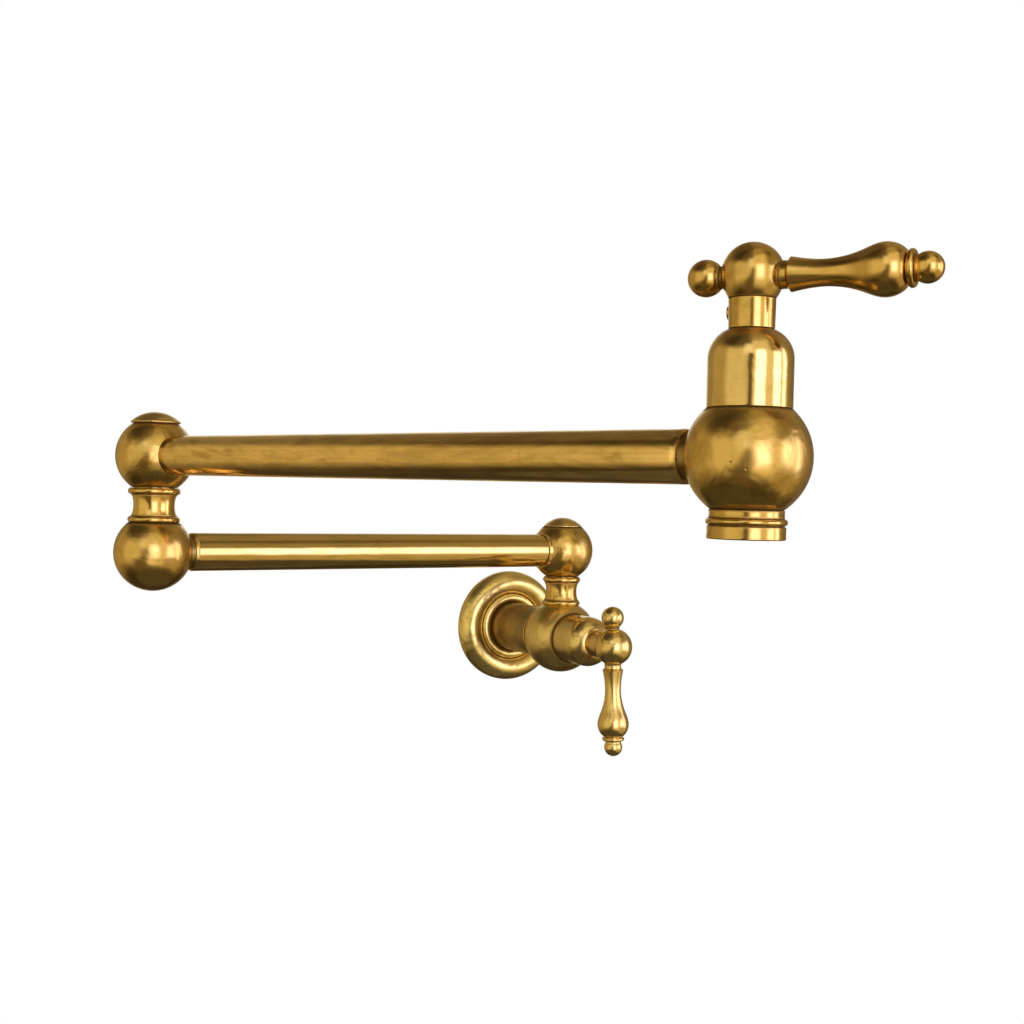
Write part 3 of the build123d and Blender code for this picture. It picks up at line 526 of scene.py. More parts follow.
def finish_of(name):
    """Each finish is made once, when a piece first asks for it."""
    if name in MADE:
        return MADE[name]
    metal = bpy.context.scene.pot_filler.metal
    satin, polish, mottle = metal.satin, metal.polish, metal.mottle
    # Colour, roughness, patina, grain, lines, waves, and True on a drawn tube
    aged = {
        "ball brass": (metal.gold, satin * 1.1, mottle, 0.3, 300.0, 8.0),
        "tube brass": (metal.pale, satin * 0.7, mottle * 0.6, 0.3, 6.0, 2.0, True),
        # The second tube's paler copy of the brass is painted light
        "rubbed brass": (metal.rubbed, satin * 0.7, mottle * 0.8, 0.3, 6.0, 2.5, True),
        # The flange's paler brass is partly painted light
        "flange brass": (metal.rose, satin * 1.4, mottle * 0.7, 0.15, 300.0, 7.0),
        "soft brass": (metal.light, satin * 1.4, mottle * 0.5, 0.15, 300.0, 7.0),
        "light brass": (metal.light, satin, mottle * 0.35, 0.05, 300.0, 1.6),
        "lever brass": (metal.gold, satin * 0.9, mottle * 0.5, 0.05, 300.0, 2.0),
        # Darker brass of the shank, and painted shade on the necks
        "dull brass": (metal.dull, satin * 1.5, mottle * 0.3, 0.3, 300.0, 2.0),
        "post brass": (metal.gold, polish * 1.4, mottle * 0.8, 0.3, 900.0, 2.0),
        "turned brass": (metal.pale, polish, mottle * 0.5, 0.3, 2600.0, 2.5),
    }
    # Lighter and darker colour, roughness, and 1 where it is metal
    inside = {
        "machined brass": ((0.72, 0.53, 0.22), (0.60, 0.42, 0.15), 0.3, 1.0),
        "rubber": ((0.025,) * 3, (0.012,) * 3, 0.75),
        "ceramic": ((0.86, 0.85, 0.81), (0.80, 0.79, 0.74), 0.18),
        "moulded plastic": ((0.66, 0.66, 0.63), (0.55, 0.55, 0.52), 0.5),
    }
    if name in aged:
        MADE[name] = brass(name, metal, *aged[name])
    else:
        MADE[name] = plain(name, *inside[name])
    return MADE[name]


# Turned outlines: points of radius and level along an axis, in metres. A third number
# rounds that corner.


def arc(middle, radius, start, end, steps=28):
    """Part of a circle, between two angles in degrees."""
    angles = np.radians(np.linspace(start, end, steps + 1))
    return [
        (middle[0] + radius * math.cos(a), middle[1] + radius * math.sin(a))
        for a in angles
    ]


def bulge(start, middle, end, steps=14):
    """Arc from start to end through middle."""
    (ax, ay), (bx, by), (cx, cy) = start, middle, end
    d = 2 * (ax * (by - cy) + bx * (cy - ay) + cx * (ay - by))
    a2, b2, c2 = ax * ax + ay * ay, bx * bx + by * by, cx * cx + cy * cy
    ox = (a2 * (by - cy) + b2 * (cy - ay) + c2 * (ay - by)) / d
    oy = (a2 * (cx - bx) + b2 * (ax - cx) + c2 * (bx - ax)) / d
    first = math.atan2(ay - oy, ax - ox)
    half = (math.atan2(by - oy, bx - ox) - first) % math.tau
    sweep = (math.atan2(cy - oy, cx - ox) - first) % math.tau
    if half > sweep:
        sweep -= math.tau
    radius = math.hypot(ax - ox, ay - oy)
    return [
        (ox + radius * math.cos(first + sweep * t), oy + radius * math.sin(first + sweep * t))
        for t in np.linspace(0, 1, steps + 1)
    ]


def flow(points, start_way, end_way, steps=20):
    """Smooth curve through points that leaves and arrives in the given ways."""
    points = np.array(points, float)
    chords = np.linalg.norm(np.diff(points, axis=0), axis=1)
    count = len(points)
    ways = [np.array(way, float) / np.hypot(*way) for way in (start_way, end_way)]
    matrix = np.zeros((count, count))
    target = np.zeros((count, 2))
    matrix[0, 0] = matrix[-1, -1] = 1
    target[0], target[-1] = ways
    for i in range(1, count - 1):
        before, after = chords[i - 1], chords[i]
        matrix[i, i - 1 : i + 2] = (1 / before, 2 / before + 2 / after, 1 / after)
        target[i] = (
            3 * (points[i] - points[i - 1]) / before**2
            + 3 * (points[i + 1] - points[i]) / after**2
        )
    slopes = np.linalg.solve(matrix, target)
    made = [tuple(points[0])]
    for i, chord in enumerate(chords):
        for t in np.linspace(0, 1, steps + 1)[1:]:
            made.append(
                tuple(
                    (2 * t**3 - 3 * t**2 + 1) * points[i]
                    + (t**3 - 2 * t**2 + t) * chord * slopes[i]
                    + (3 * t**2 - 2 * t**3) * points[i + 1]
                    + (t**3 - t**2) * chord * slopes[i + 1]
                )
            )
    return made


def ease(outline, closed):
    """Round each corner that names an easing radius as its third number."""
    made = []
    count = len(outline)
    for i, point in enumerate(outline):
        here = np.array(point[:2])
        if len(point) == 2 or (not closed and i in (0, count - 1)):
            made.append(tuple(here))
            continue
        before = np.array(outline[i - 1][:2]) - here
        after = np.array(outline[(i + 1) % count][:2]) - here
        reach_before, reach_after = np.hypot(*before), np.hypot(*after)
        before, after = before / reach_before, after / reach_after
        half = math.acos(np.clip(before @ after, -1, 1)) / 2
        cut = min(point[2] / math.tan(half), reach_before * 0.45, reach_after * 0.45)
        start, end = here + before * cut, here + after * cut
        bow = cut * math.tan(half)
        inwards = (before + after) / np.hypot(*(before + after))
        middle = here + inwards * (bow / math.sin(half))
        for t in np.linspace(0, 1, 5):
            spot = start * (1 - t) + end * t - middle
            made.append(tuple(middle + spot / np.hypot(*spot) * bow))
    return made


def divide(outline, closed, longest=0.0011):
    """Add points on long runs, so that grime, painted shade and reflections follow the form."""
    made = []
    ends = outline[1:] + outline[:1] if closed else outline[1:]
    for start, end in zip(outline, ends):
        steps = max(1, math.ceil(math.dist(start, end) / longest))
        for t in range(steps):
            made.append(tuple(a + (b - a) * t / steps for a, b in zip(start, end)))
    return made if closed else made + [outline[-1]]


def stand(middle, axis, side):
    """Place whose z is the axis that a piece is turned round, and whose x is its side."""
    side = (side - axis * side.dot(axis)).normalized()
    other = axis.cross(side)
    return Matrix.Translation(middle) @ Matrix((side, other, axis)).transposed().to_4x4()


def settle(shape, mesh):
    """Write a shape to its mesh and let it go."""
    shape.to_mesh(mesh)
    shape.free()
    return mesh


def lathe(outline, place, seams=(), reach=0.0016, sides=144):
    """Mesh of an outline turned round its place's z. Grime and painted shade lie beside the
    seams, as far as the reach."""
    closed = outline[0][0] > ON_AXIS or outline[-1][0] > ON_AXIS
    outline = divide(ease(outline, closed), closed)
    travelled = [0.0]
    for start, end in zip(outline, outline[1:] + outline[:1]):
        travelled.append(travelled[-1] + math.dist(start, end))
    shape = bmesh.new()
    grime = shape.verts.layers.float.new("grime")
    wrap = shape.loops.layers.uv.new("around")
    rows = []
    for radius, level in outline:
        # Weight of grime beside a seam, which also paints the shade where pieces meet
        away = min((math.dist(seam, (radius, level)) for seam in seams), default=math.inf)
        dirt_and_shade = math.exp(-((away / reach) ** 2))
        row = []
        for i in range(1 if radius < ON_AXIS else sides):
            angle = math.tau * i / sides
            spot = Vector((radius * math.cos(angle), radius * math.sin(angle), level))
            vert = shape.verts.new(place @ spot)
            vert[grime] = dirt_and_shade
            row.append(vert)
        rows.append(row)
    last = len(rows) if closed else len(rows) - 1
    for r in range(last):
        low, high = rows[r], rows[(r + 1) % len(rows)]
        for i in range(sides):
            j = (i + 1) % sides
            corners = [
                (low[i % len(low)], i, r),
                (low[j % len(low)], i + 1, r),
                (high[j % len(high)], i + 1, r + 1),
                (high[i % len(high)], i, r + 1),
            ]
            if len(low) == 1:
                corners.pop(1)
            elif len(high) == 1:
                corners.pop(2)
            face = shape.faces.new([vert for vert, _, _ in corners])
            face.smooth = True
            for loop, (_, around, step) in zip(face.loops, corners):
                loop[wrap].uv = (around / sides, travelled[step])
    bmesh.ops.recalc_face_normals(shape, faces=shape.faces)
    return settle(shape, bpy.data.meshes.new("turned"))


def show(name, mesh, body, finish, slot, *nodes):
    """Make a mesh a piece, with its body, its finish and the nodes that it stands for."""
    mesh.name = name
    mesh.set_sharp_from_angle(angle=CREASE)
    piece = bpy.data.objects.new(name, mesh)
    bpy.context.scene.collection.objects.link(piece)
    mesh.materials.clear()
    mesh.materials.append(finish_of(finish))
    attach(piece, body)
    if nodes:
        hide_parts(*nodes)


def dress(finish, *nodes):
    """Give CAD nodes that stay a better finish."""
    for node in nodes:
        mesh = frame["nodes"][node].data
        mesh.materials.clear()
        mesh.materials.append(finish_of(finish))


# Where things stand


Valve = namedtuple("Valve", "side place way body handle finish")


class Stance:
    """Axes and levels that several pieces share. Levels on a valve's axis start at its
    ball's middle."""

    def __init__(self, tap):
        balls, bonnet, handle = tap.balls, tap.bonnet, tap.handle
        wall_valve = JOINT["wall_lever_turn"]
        self.wall_swivel = JOINT["wall_swivel"]
        self.elbow_swivel = JOINT["elbow_swivel"]
        self.outlet_ball = JOINT["outlet_lever_turn"]
        self.elbow_base = self.elbow_swivel - UP * balls.elbow_height
        first = self.elbow_base - self.wall_swivel
        second = self.outlet_ball - self.elbow_swivel
        self.first_way, self.first_reach = first.normalized(), first.length
        self.second_way, self.second_reach = second.normalized(), second.length
        self.inlet = stand(Vector(), OUT, UP)
        lean, heading = handle.wall_lean, handle.outlet_heading
        down = Vector((math.sin(lean), 0, -math.cos(lean)))
        level = Vector((math.cos(heading), math.sin(heading), 0))
        wall_place = stand(wall_valve, OUT, down)
        outlet_place = stand(self.outlet_ball, UP, level)
        self.wall = Valve("wall", wall_place, down, "root", "wall_handle", "light brass")
        self.outlet = Valve(
            "outlet", outlet_place, level, "second_arm", "outlet_handle", "lever brass"
        )
        self.bonnet_seat = across(balls.valve, bonnet.radius)
        self.shank_seat = across(balls.valve, tap.inlet.shank)
        self.shank_length = wall_valve.length - self.shank_seat
        self.shoulder = self.bonnet_seat + bonnet.straight
        self.dome_middle = bonnet.radius - bonnet.dome
        dome_height = across(bonnet.dome, handle.collar - self.dome_middle)
        self.bonnet_top = self.shoulder + dome_height
        self.collar_foot = self.bonnet_top + bonnet.gap
        self.collar_top = self.collar_foot + handle.collar_height
        flared = handle.collar + handle.collar_flare
        hub_foot = handle.hub_drop * math.sqrt(1 - (flared / handle.hub) ** 2)
        self.hub_middle = self.collar_top + hub_foot
        self.handle_flat = across(handle.hub, handle.stem)
        self.lever_level = self.hub_middle - handle.drop
        self.nozzle_seat = across(balls.valve, tap.nozzle.flat)


class Swivel:
    """Turned outlines of one swivel. Levels start at the middle of the ball that turns."""

    nut_room = 0.0009
    lid_room = 0.0004

    def __init__(self, tap, radius, foot, bead, neck, cap, cap_seat):
        sizes = tap.swivels
        self.sizes, self.gap = sizes, tap.bonnet.gap
        self.radius, self.foot, self.bead, self.neck = radius, foot, bead, neck
        self.cap_radius, self.cap_seat = cap, cap_seat
        self.flat = bead - sizes.upper_inset
        self.ball_foot = across(radius, self.flat)
        self.ball_top = across(radius, cap_seat)
        self.head = -self.ball_foot - self.gap
        self.register = self.flat - sizes.register_inset
        self.register_top = self.head + sizes.register_depth
        self.shelf = sizes.chamber_half + sizes.land
        self.journal_top = self.shelf + self.gap
        self.nut_top = self.journal_top + sizes.nut_height
        self.nut_bore = sizes.nut + self.nut_room

    def post(self):
        """Spool with a bead at each end, its register, journal and stud. Also its seams."""
        sizes, bead, neck, foot, head = self.sizes, self.bead, self.neck, self.foot, self.head
        side, half = bead - sizes.bead_bulge, sizes.bead_height / 2
        step, waist = neck + sizes.step, neck + sizes.flare
        low, high = foot + sizes.bead_height, head - sizes.bead_height
        neck_low, neck_high = low + sizes.step_height, high - sizes.step_height
        neck_middle = (neck, (neck_low + neck_high) / 2)
        outline = [
            (0, foot - sizes.thread_length),
            (sizes.thread, foot - sizes.thread_length),
            (sizes.thread, foot),
            *bulge((side, foot), (bead, foot + half), (side, low)),
            (step, low),
            (step, neck_low, 0.0002),
            *bulge((waist, neck_low), neck_middle, (waist, neck_high)),
            (step, neck_high, 0.0002),
            (step, high),
            *bulge((side, high), (bead, head - half), (side, head)),
            (self.register, head),
            (self.register, self.register_top),
            (sizes.journal, self.register_top),
            (sizes.journal, self.journal_top),
            (sizes.stud, self.journal_top),
            (sizes.stud, self.nut_top),
            (0, self.nut_top),
        ]
        return outline, [(side, foot), (step, low), (step, high), (side, head)]

    def ball(self):
        """Ball with the journal's bore and its water chamber. Also its seams."""
        sizes, foot, top = self.sizes, self.ball_foot, self.ball_top
        bore, socket = sizes.journal + FIT, self.register + FIT
        step = self.register_top + self.gap
        outline = [
            *ball_side(self.radius, foot, top),
            (self.nut_bore, top),
            (self.nut_bore, self.shelf),
            (bore, self.shelf),
            (bore, sizes.chamber_half),
            (sizes.chamber, sizes.chamber_half),
            (sizes.chamber, -sizes.chamber_half),
            (bore, -sizes.chamber_half),
            (bore, step),
            (socket, step),
            (socket, -foot),
        ]
        return outline, [(self.flat, -foot), (self.cap_seat, top)]

    def cap(self):
        """Low dome with a round rim, over the nut. Also its seam."""
        sizes, foot = self.sizes, self.ball_top
        side, plug = self.cap_radius - sizes.cap_rim / 2, self.nut_bore - FIT
        rim_top, lid = foot + sizes.cap_rim, self.nut_top + self.lid_room
        radius = (side**2 + sizes.cap_rise**2) / (2 * sizes.cap_rise)
        span = math.degrees(math.asin(side / radius))
        dome = arc((0, rim_top + sizes.cap_rise - radius), radius, 90 - span, 90)
        outline = [
            (0, lid),
            (plug, lid),
            (plug, foot),
            *bulge((side, foot), (self.cap_radius, foot + sizes.cap_rim / 2), (side, rim_top)),
            *dome[1:-1],
            (0, rim_top + sizes.cap_rise),
        ]
        return outline, [(side, foot)]


def across(radius, other):
    """Distance from a ball's middle to the flat of the other radius."""
    return math.sqrt(radius**2 - other**2)


def ball_side(radius, foot, top, steps=56):
    """Side of a ball, from a foot below its middle to a top above it."""
    low = -math.degrees(math.asin(foot / radius))
    high = math.degrees(math.asin(top / radius))
    return arc((0, 0), radius, low, high, steps)


def neck_outline(tubes, radius, shown, spigot=0.006):
    """Neck of a ball, of which a length shows past the tube's end, and its spigot."""
    start, end = tubes.neck, across(radius, tubes.neck) + shown
    inner = tubes.radius - tubes.wall - FIT
    return [
        (inner, start),
        (tubes.neck, start),
        (tubes.neck, end),
        (inner, end),
        (inner, end + spigot),
        (WATERWAY, end + spigot),
        (WATERWAY, start),
    ]


# Operators, one for each piece or group of like pieces


class POTFILLER_OT_wall_flange(Operator):
    """Domed rose at the wall, with its groove and inner bead"""

    bl_idname = "pot_filler.wall_flange"
    bl_label = "Wall flange"

    def execute(self, context):
        tap = context.scene.pot_filler
        inlet = tap.inlet
        edge, crest = (inlet.flange, inlet.edge), (inlet.crest, inlet.height)
        groove, bore = (inlet.groove, inlet.groove_height), inlet.shank + FIT
        dome = flow([edge, crest, groove], (0.15, 1), (-0.5, -1))
        bead_top = ((inlet.groove + bore) / 2, inlet.bead_height)
        bead = bulge(groove, bead_top, (bore, inlet.groove_height))
        outline = [
            (inlet.flange, 0, 0.0002),
            *dome,
            *bead[1:],
            (bore, inlet.gasket_thickness),
            (inlet.gasket, inlet.gasket_thickness),
            (inlet.gasket, inlet.groove_height - inlet.wall),
            (inlet.crest, inlet.height - inlet.wall),
            (inlet.flange - inlet.wall, inlet.edge),
            (inlet.flange - inlet.wall, 0),
        ]
        mesh = lathe(outline, Stance(tap).inlet, [groove], reach=0.0008)
        # The flange's paler brass is partly painted light, for the brighter reflections on its
        # face
        show("wall_flange_brass", mesh, "root", "flange brass", "aged_brass", "wall_flange")
        dress("rubber", "flange_gasket", "flange_grip_ring")
        return {"FINISHED"}


class POTFILLER_OT_inlet_shank(Operator):
    """Shank between flange and wall valve, and the ring against the ball"""

    bl_idname = "pot_filler.inlet_shank"
    bl_label = "Inlet shank"

    def execute(self, context):
        tap = context.scene.pot_filler
        inlet, stance = tap.inlet, Stance(tap)
        end = stance.shank_length
        root, ring_start = inlet.bore + inlet.thread_depth, end - inlet.ring_length
        shank = [
            (WATERWAY, inlet.bore_depth),
            (root, inlet.bore_depth),
            (root, 0),
            (inlet.shank, 0, 0.0003),
            (inlet.shank, end),
            (inlet.spigot, end),
            (inlet.spigot, end + inlet.spigot_length),
            (WATERWAY, end + inlet.spigot_length),
        ]
        seams = [(inlet.shank, inlet.groove_height), (inlet.shank, ring_start)]
        mesh = lathe(shank, stance.inlet, seams, reach=0.002)
        show("inlet_shank_brass", mesh, "root", "dull brass", "aged_brass", "inlet_shank")
        inner, soft = inlet.shank + FIT, inlet.ring_length * 0.4
        ring = [
            (inner, ring_start),
            (inlet.ring, ring_start, soft),
            (inlet.ring, end, soft),
            (inner, end),
        ]
        mesh = lathe(ring, stance.inlet, [(inlet.ring, end)], reach=0.0008)
        show("shank_ring_brass", mesh, "root", "lever brass", "aged_brass", "shank_ring")
        return {"FINISHED"}


class POTFILLER_OT_inlet_thread(Operator):
    """Ridges of the female thread in the inlet"""

    bl_idname = "pot_filler.inlet_thread"
    bl_label = "Inlet thread"

    def execute(self, context):
        tap = context.scene.pot_filler
        inlet = tap.inlet
        plain_turns, start = 1.2, inlet.thread_pitch * 0.7
        board, sizes = new_tree(
            "Thread ridge",
            {
                "Radius": inlet.bore + inlet.thread_depth,
                "Depth": inlet.thread_depth,
                "Pitch": inlet.thread_pitch,
                "Turns": inlet.bore_depth / inlet.thread_pitch - plain_turns,
                "Finish": finish_of("machined brass"),
            },
        )
        path = board.node(
            "GeometryNodeCurveSpiral",
            {
                "Resolution": 72,
                "Rotations": sizes["Turns"],
                "Start Radius": sizes["Radius"],
                "End Radius": sizes["Radius"],
                "Height": sizes["Pitch"] * sizes["Turns"],
            },
        )
        section = circle(board, 3, sizes["Depth"] * 0.98)
        ridge = board.node(
            "GeometryNodeCurveToMesh",
            {"Curve": path, "Profile Curve": section, "Fill Caps": True},
        )
        mesh = grown(board, ridge, sizes["Finish"])
        mesh.transform(Stance(tap).inlet @ Matrix.Translation((0, 0, start)))
        show("inlet_thread", mesh, "root", "machined brass", "inner_brass")
        return {"FINISHED"}


class POTFILLER_OT_valve_balls(Operator):
    """Ball bodies of the wall valve and the outlet valve"""

    bl_idname = "pot_filler.valve_balls"
    bl_label = "Valve balls"

    def execute(self, context):
        tap = context.scene.pot_filler
        balls, bonnet, nozzle, inlet = tap.balls, tap.bonnet, tap.nozzle, tap.inlet
        stance = Stance(tap)
        seat = stance.bonnet_seat

        def outline(foot, socket, socket_end):
            """Ball with a bore for its cartridge above and a socket below."""
            return [
                *ball_side(balls.valve, foot, seat),
                (bonnet.chamber, seat),
                (bonnet.chamber, -bonnet.floor),
                (WATERWAY, -bonnet.floor),
                (WATERWAY, socket_end),
                (socket, socket_end),
                (socket, -foot),
            ]

        foot = stance.shank_seat
        wall = outline(foot, inlet.spigot + FIT, inlet.spigot_length - foot)
        # The grime beside the bonnet's seam also paints the shade under the bonnet
        seams = [(bonnet.radius, seat), (inlet.shank, -foot)]
        mesh = lathe(wall, stance.wall.place, seams, reach=0.0017)
        show("wall_valve_ball", mesh, "root", "soft brass", "aged_brass", "wall_valve_body")
        foot = stance.nozzle_seat
        outlet = outline(foot, nozzle.thread + FIT, nozzle.thread_length + FIT - foot)
        seams = [(bonnet.radius, seat), (nozzle.flat, -foot)]
        arm, slot = "second_arm", "aged_brass"
        mesh = lathe(outlet, stance.outlet.place, seams, reach=0.0017)
        show("outlet_valve_ball", mesh, arm, "ball brass", slot, "outlet_valve_body")
        neck = neck_outline(tap.tubes, balls.valve, tap.tubes.outlet_neck)
        mesh = lathe(neck, stand(stance.outlet_ball, -stance.second_way, UP))
        # The neck's darker brass is painted shade, where it sits between tube and ball
        show("outlet_neck", mesh, arm, "dull brass", slot)
        return {"FINISHED"}


class POTFILLER_OT_bonnets(Operator):
    """Straight sleeve with a round shoulder, over each cartridge"""

    bl_idname = "pot_filler.bonnets"
    bl_label = "Bonnets"

    def execute(self, context):
        tap = context.scene.pot_filler
        bonnet, stance = tap.bonnet, Stance(tap)
        seat, shoulder, top = stance.bonnet_seat, stance.shoulder, stance.bonnet_top
        dome_end = math.degrees(math.asin((top - shoulder) / bonnet.dome))
        sleeve, inner = bonnet.radius - bonnet.wall, bonnet.spindle + bonnet.wall
        outline = [
            (bonnet.radius, seat, 0.0004),
            *arc((stance.dome_middle, shoulder), bonnet.dome, 0, dome_end),
            (inner, top),
            (inner, bonnet.crown),
            (bonnet.thread, bonnet.crown),
            (bonnet.thread, bonnet.thread_start),
            (sleeve, bonnet.thread_start),
            (sleeve, seat),
        ]
        seams = [(tap.handle.collar * 0.25, top)]
        for valve, finish, reach in (
            (stance.wall, "light brass", 0.003),
            (stance.outlet, "turned brass", 0.0105),
        ):
            name = f"{valve.side}_bonnet"
            mesh = lathe(outline, valve.place, seams, reach)
            show(f"{name}_brass", mesh, valve.body, finish, "turned_brass", name)
            dress("machined brass", f"{valve.side}_cartridge", f"{valve.side}_spindle")
            dress("ceramic", f"{valve.side}_fixed_disc", f"{valve.side}_moving_disc")
            dress("rubber", f"{valve.side}_cartridge_seal")
        return {"FINISHED"}


class POTFILLER_OT_hubs(Operator):
    """Collar and ball of each handle, with its set screw"""

    bl_idname = "pot_filler.hubs"
    bl_label = "Handle hubs"

    def execute(self, context):
        tap = context.scene.pot_filler
        handle, stance, bore = tap.handle, Stance(tap), tap.bonnet.spindle
        foot, top, middle = stance.collar_foot, stance.collar_top, stance.hub_middle
        flared = handle.collar + handle.collar_flare
        widening = math.asin((middle - top) / handle.hub_drop)
        bowl_way = (handle.hub * math.sin(widening), handle.hub_drop * math.cos(widening))
        bowl = flow([(flared, top), (handle.hub, middle)], bowl_way, (0, 1))
        crown = arc((0, middle), handle.hub, 0, 90)
        thread_room = 0.0003
        pocket = stance.lever_level - handle.thread - thread_room
        seam, waist, shelf = handle.seam, flared - handle.seam, top - handle.seam * 0.6
        collar = [
            (bore, foot),
            (handle.collar, foot, 0.0002),
            (flared, top - seam, 0.00018),
            (waist, shelf),
            (bore, shelf),
        ]
        hub = [
            (0, pocket),
            (bore, pocket),
            (bore, shelf),
            (waist, shelf),
            (waist, top),
            *bowl,
            *crown[1:-1],
            (0, middle + handle.hub),
        ]
        screw_start = handle.collar - handle.screw_seat
        screw_end = screw_start + handle.screw_height
        key_floor = screw_start + handle.screw_height * 0.3
        key = 0.001
        screw = [
            (0, bore),
            (handle.screw, bore),
            (handle.screw, screw_start),
            (handle.screw_head, screw_start),
            (handle.screw_head, screw_end, handle.screw_height * 0.45),
            (key, screw_end, 0.0001),
            (key, key_floor),
            (0, key_floor),
        ]
        seams = [(waist, top - seam / 2), (handle.collar, foot)]
        slot = "turned_brass"
        collar_finishes = ("light brass", "post brass")
        for valve, collar_finish in zip((stance.wall, stance.outlet), collar_finishes):
            side, place, way, _, body, finish = valve
            mesh = lathe(hub, place, seams, reach=0.0007)
            show(f"{side}_hub_brass", mesh, body, finish, slot, f"{side}_handle_hub")
            mesh = lathe(collar, place, seams[:1], reach=0.0004)
            show(f"{side}_collar_brass", mesh, body, collar_finish, slot)
            axis = place.col[2].xyz
            spot = stand(place.translation + axis * (foot + handle.screw_level), -way, axis)
            mesh = lathe(screw, spot, [(key, screw_start)], reach=0.0008, sides=48)
            show(f"{side}_screw", mesh, body, finish, slot, f"{side}_set_screw")
        return {"FINISHED"}


class POTFILLER_OT_levers(Operator):
    """Lever of each handle, and the ball finial opposite"""

    bl_idname = "pot_filler.levers"
    bl_label = "Levers"

    def execute(self, context):
        tap = context.scene.pot_filler
        handle, stance = tap.handle, Stance(tap)
        flat = stance.handle_flat
        thread_end, sunk = flat - handle.thread_length, flat - 0.0005
        screwed = [(0, thread_end), (handle.thread, thread_end), (handle.thread, sunk)]
        lever, ring_end = self.lever(handle, flat, sunk, screwed)
        lever_seams = [(handle.stem, flat + 0.0004), (handle.groove, ring_end)]
        neck_end = flat + handle.finial_rise
        finial = self.finial(handle, flat, sunk, screwed)
        finial_seams = [(handle.finial_neck, neck_end), (handle.finial_foot, flat)]
        for side, place, way, _, body, finish in (stance.wall, stance.outlet):
            axis = place.col[2].xyz
            hub = place.translation + axis * stance.lever_level
            mesh = lathe(lever, stand(hub, way, axis), lever_seams, reach=0.0004, sides=112)
            show(f"{side}_lever_brass", mesh, body, finish, "aged_brass", f"{side}_lever")
            mesh = lathe(finial, stand(hub, -way, axis), finial_seams, reach=0.0007, sides=96)
            show(f"{side}_finial_brass", mesh, body, finish, "aged_brass", f"{side}_finial")
        return {"FINISHED"}

    def lever(self, handle, flat, sunk, screwed):
        """Outline from the thread to the tip, and the level where the ring ends."""
        stem_end = flat + handle.stem_length
        root = stem_end + handle.bevel
        waist = root + handle.root_to_waist
        flank = waist + handle.waist_to_flank
        bulb = flank + handle.flank_to_bulb
        bulb_end = bulb + handle.bulb_to_end
        ring_start = bulb_end + handle.ring_gap
        ring_end = ring_start + handle.ring_height
        tip = ring_end + handle.tip_spacing
        stations = [
            (handle.root, root),
            (handle.waist, waist),
            (handle.flank, flank),
            (handle.bulb, bulb),
            (handle.bulb_end, bulb_end),
        ]
        ring = handle.ring - handle.ring_crown
        ring_middle = (handle.ring, (ring_start + ring_end) / 2)
        tip_angle = math.degrees(math.asin(handle.groove / handle.tip))
        outline = [
            *screwed,
            (handle.stem, sunk),
            (handle.stem, stem_end),
            *flow(stations, (-0.2, 1), (-1, 0.6)),
            (handle.groove, bulb_end),
            (handle.groove, ring_start),
            *bulge((ring, ring_start), ring_middle, (ring, ring_end), 10),
            (handle.groove, ring_end),
            *arc((0, tip), handle.tip, tip_angle - 90, 90)[:-1],
            (0, tip + handle.tip),
        ]
        return outline, ring_end

    def finial(self, handle, flat, sunk, screwed):
        """Outline of the ball opposite the lever, on its narrowed neck."""
        middle = handle.finial_spacing
        angle = math.degrees(math.asin(handle.finial_neck / handle.finial))
        ball = arc((0, middle), handle.finial, angle - 90, 90)
        neck_middle = (handle.finial_neck, flat + handle.finial_rise * 0.55)
        return [
            *screwed,
            (handle.finial_foot, sunk),
            *bulge((handle.finial_foot, flat), neck_middle, ball[0], 8),
            *ball[1:-1],
            (0, middle + handle.finial),
        ]


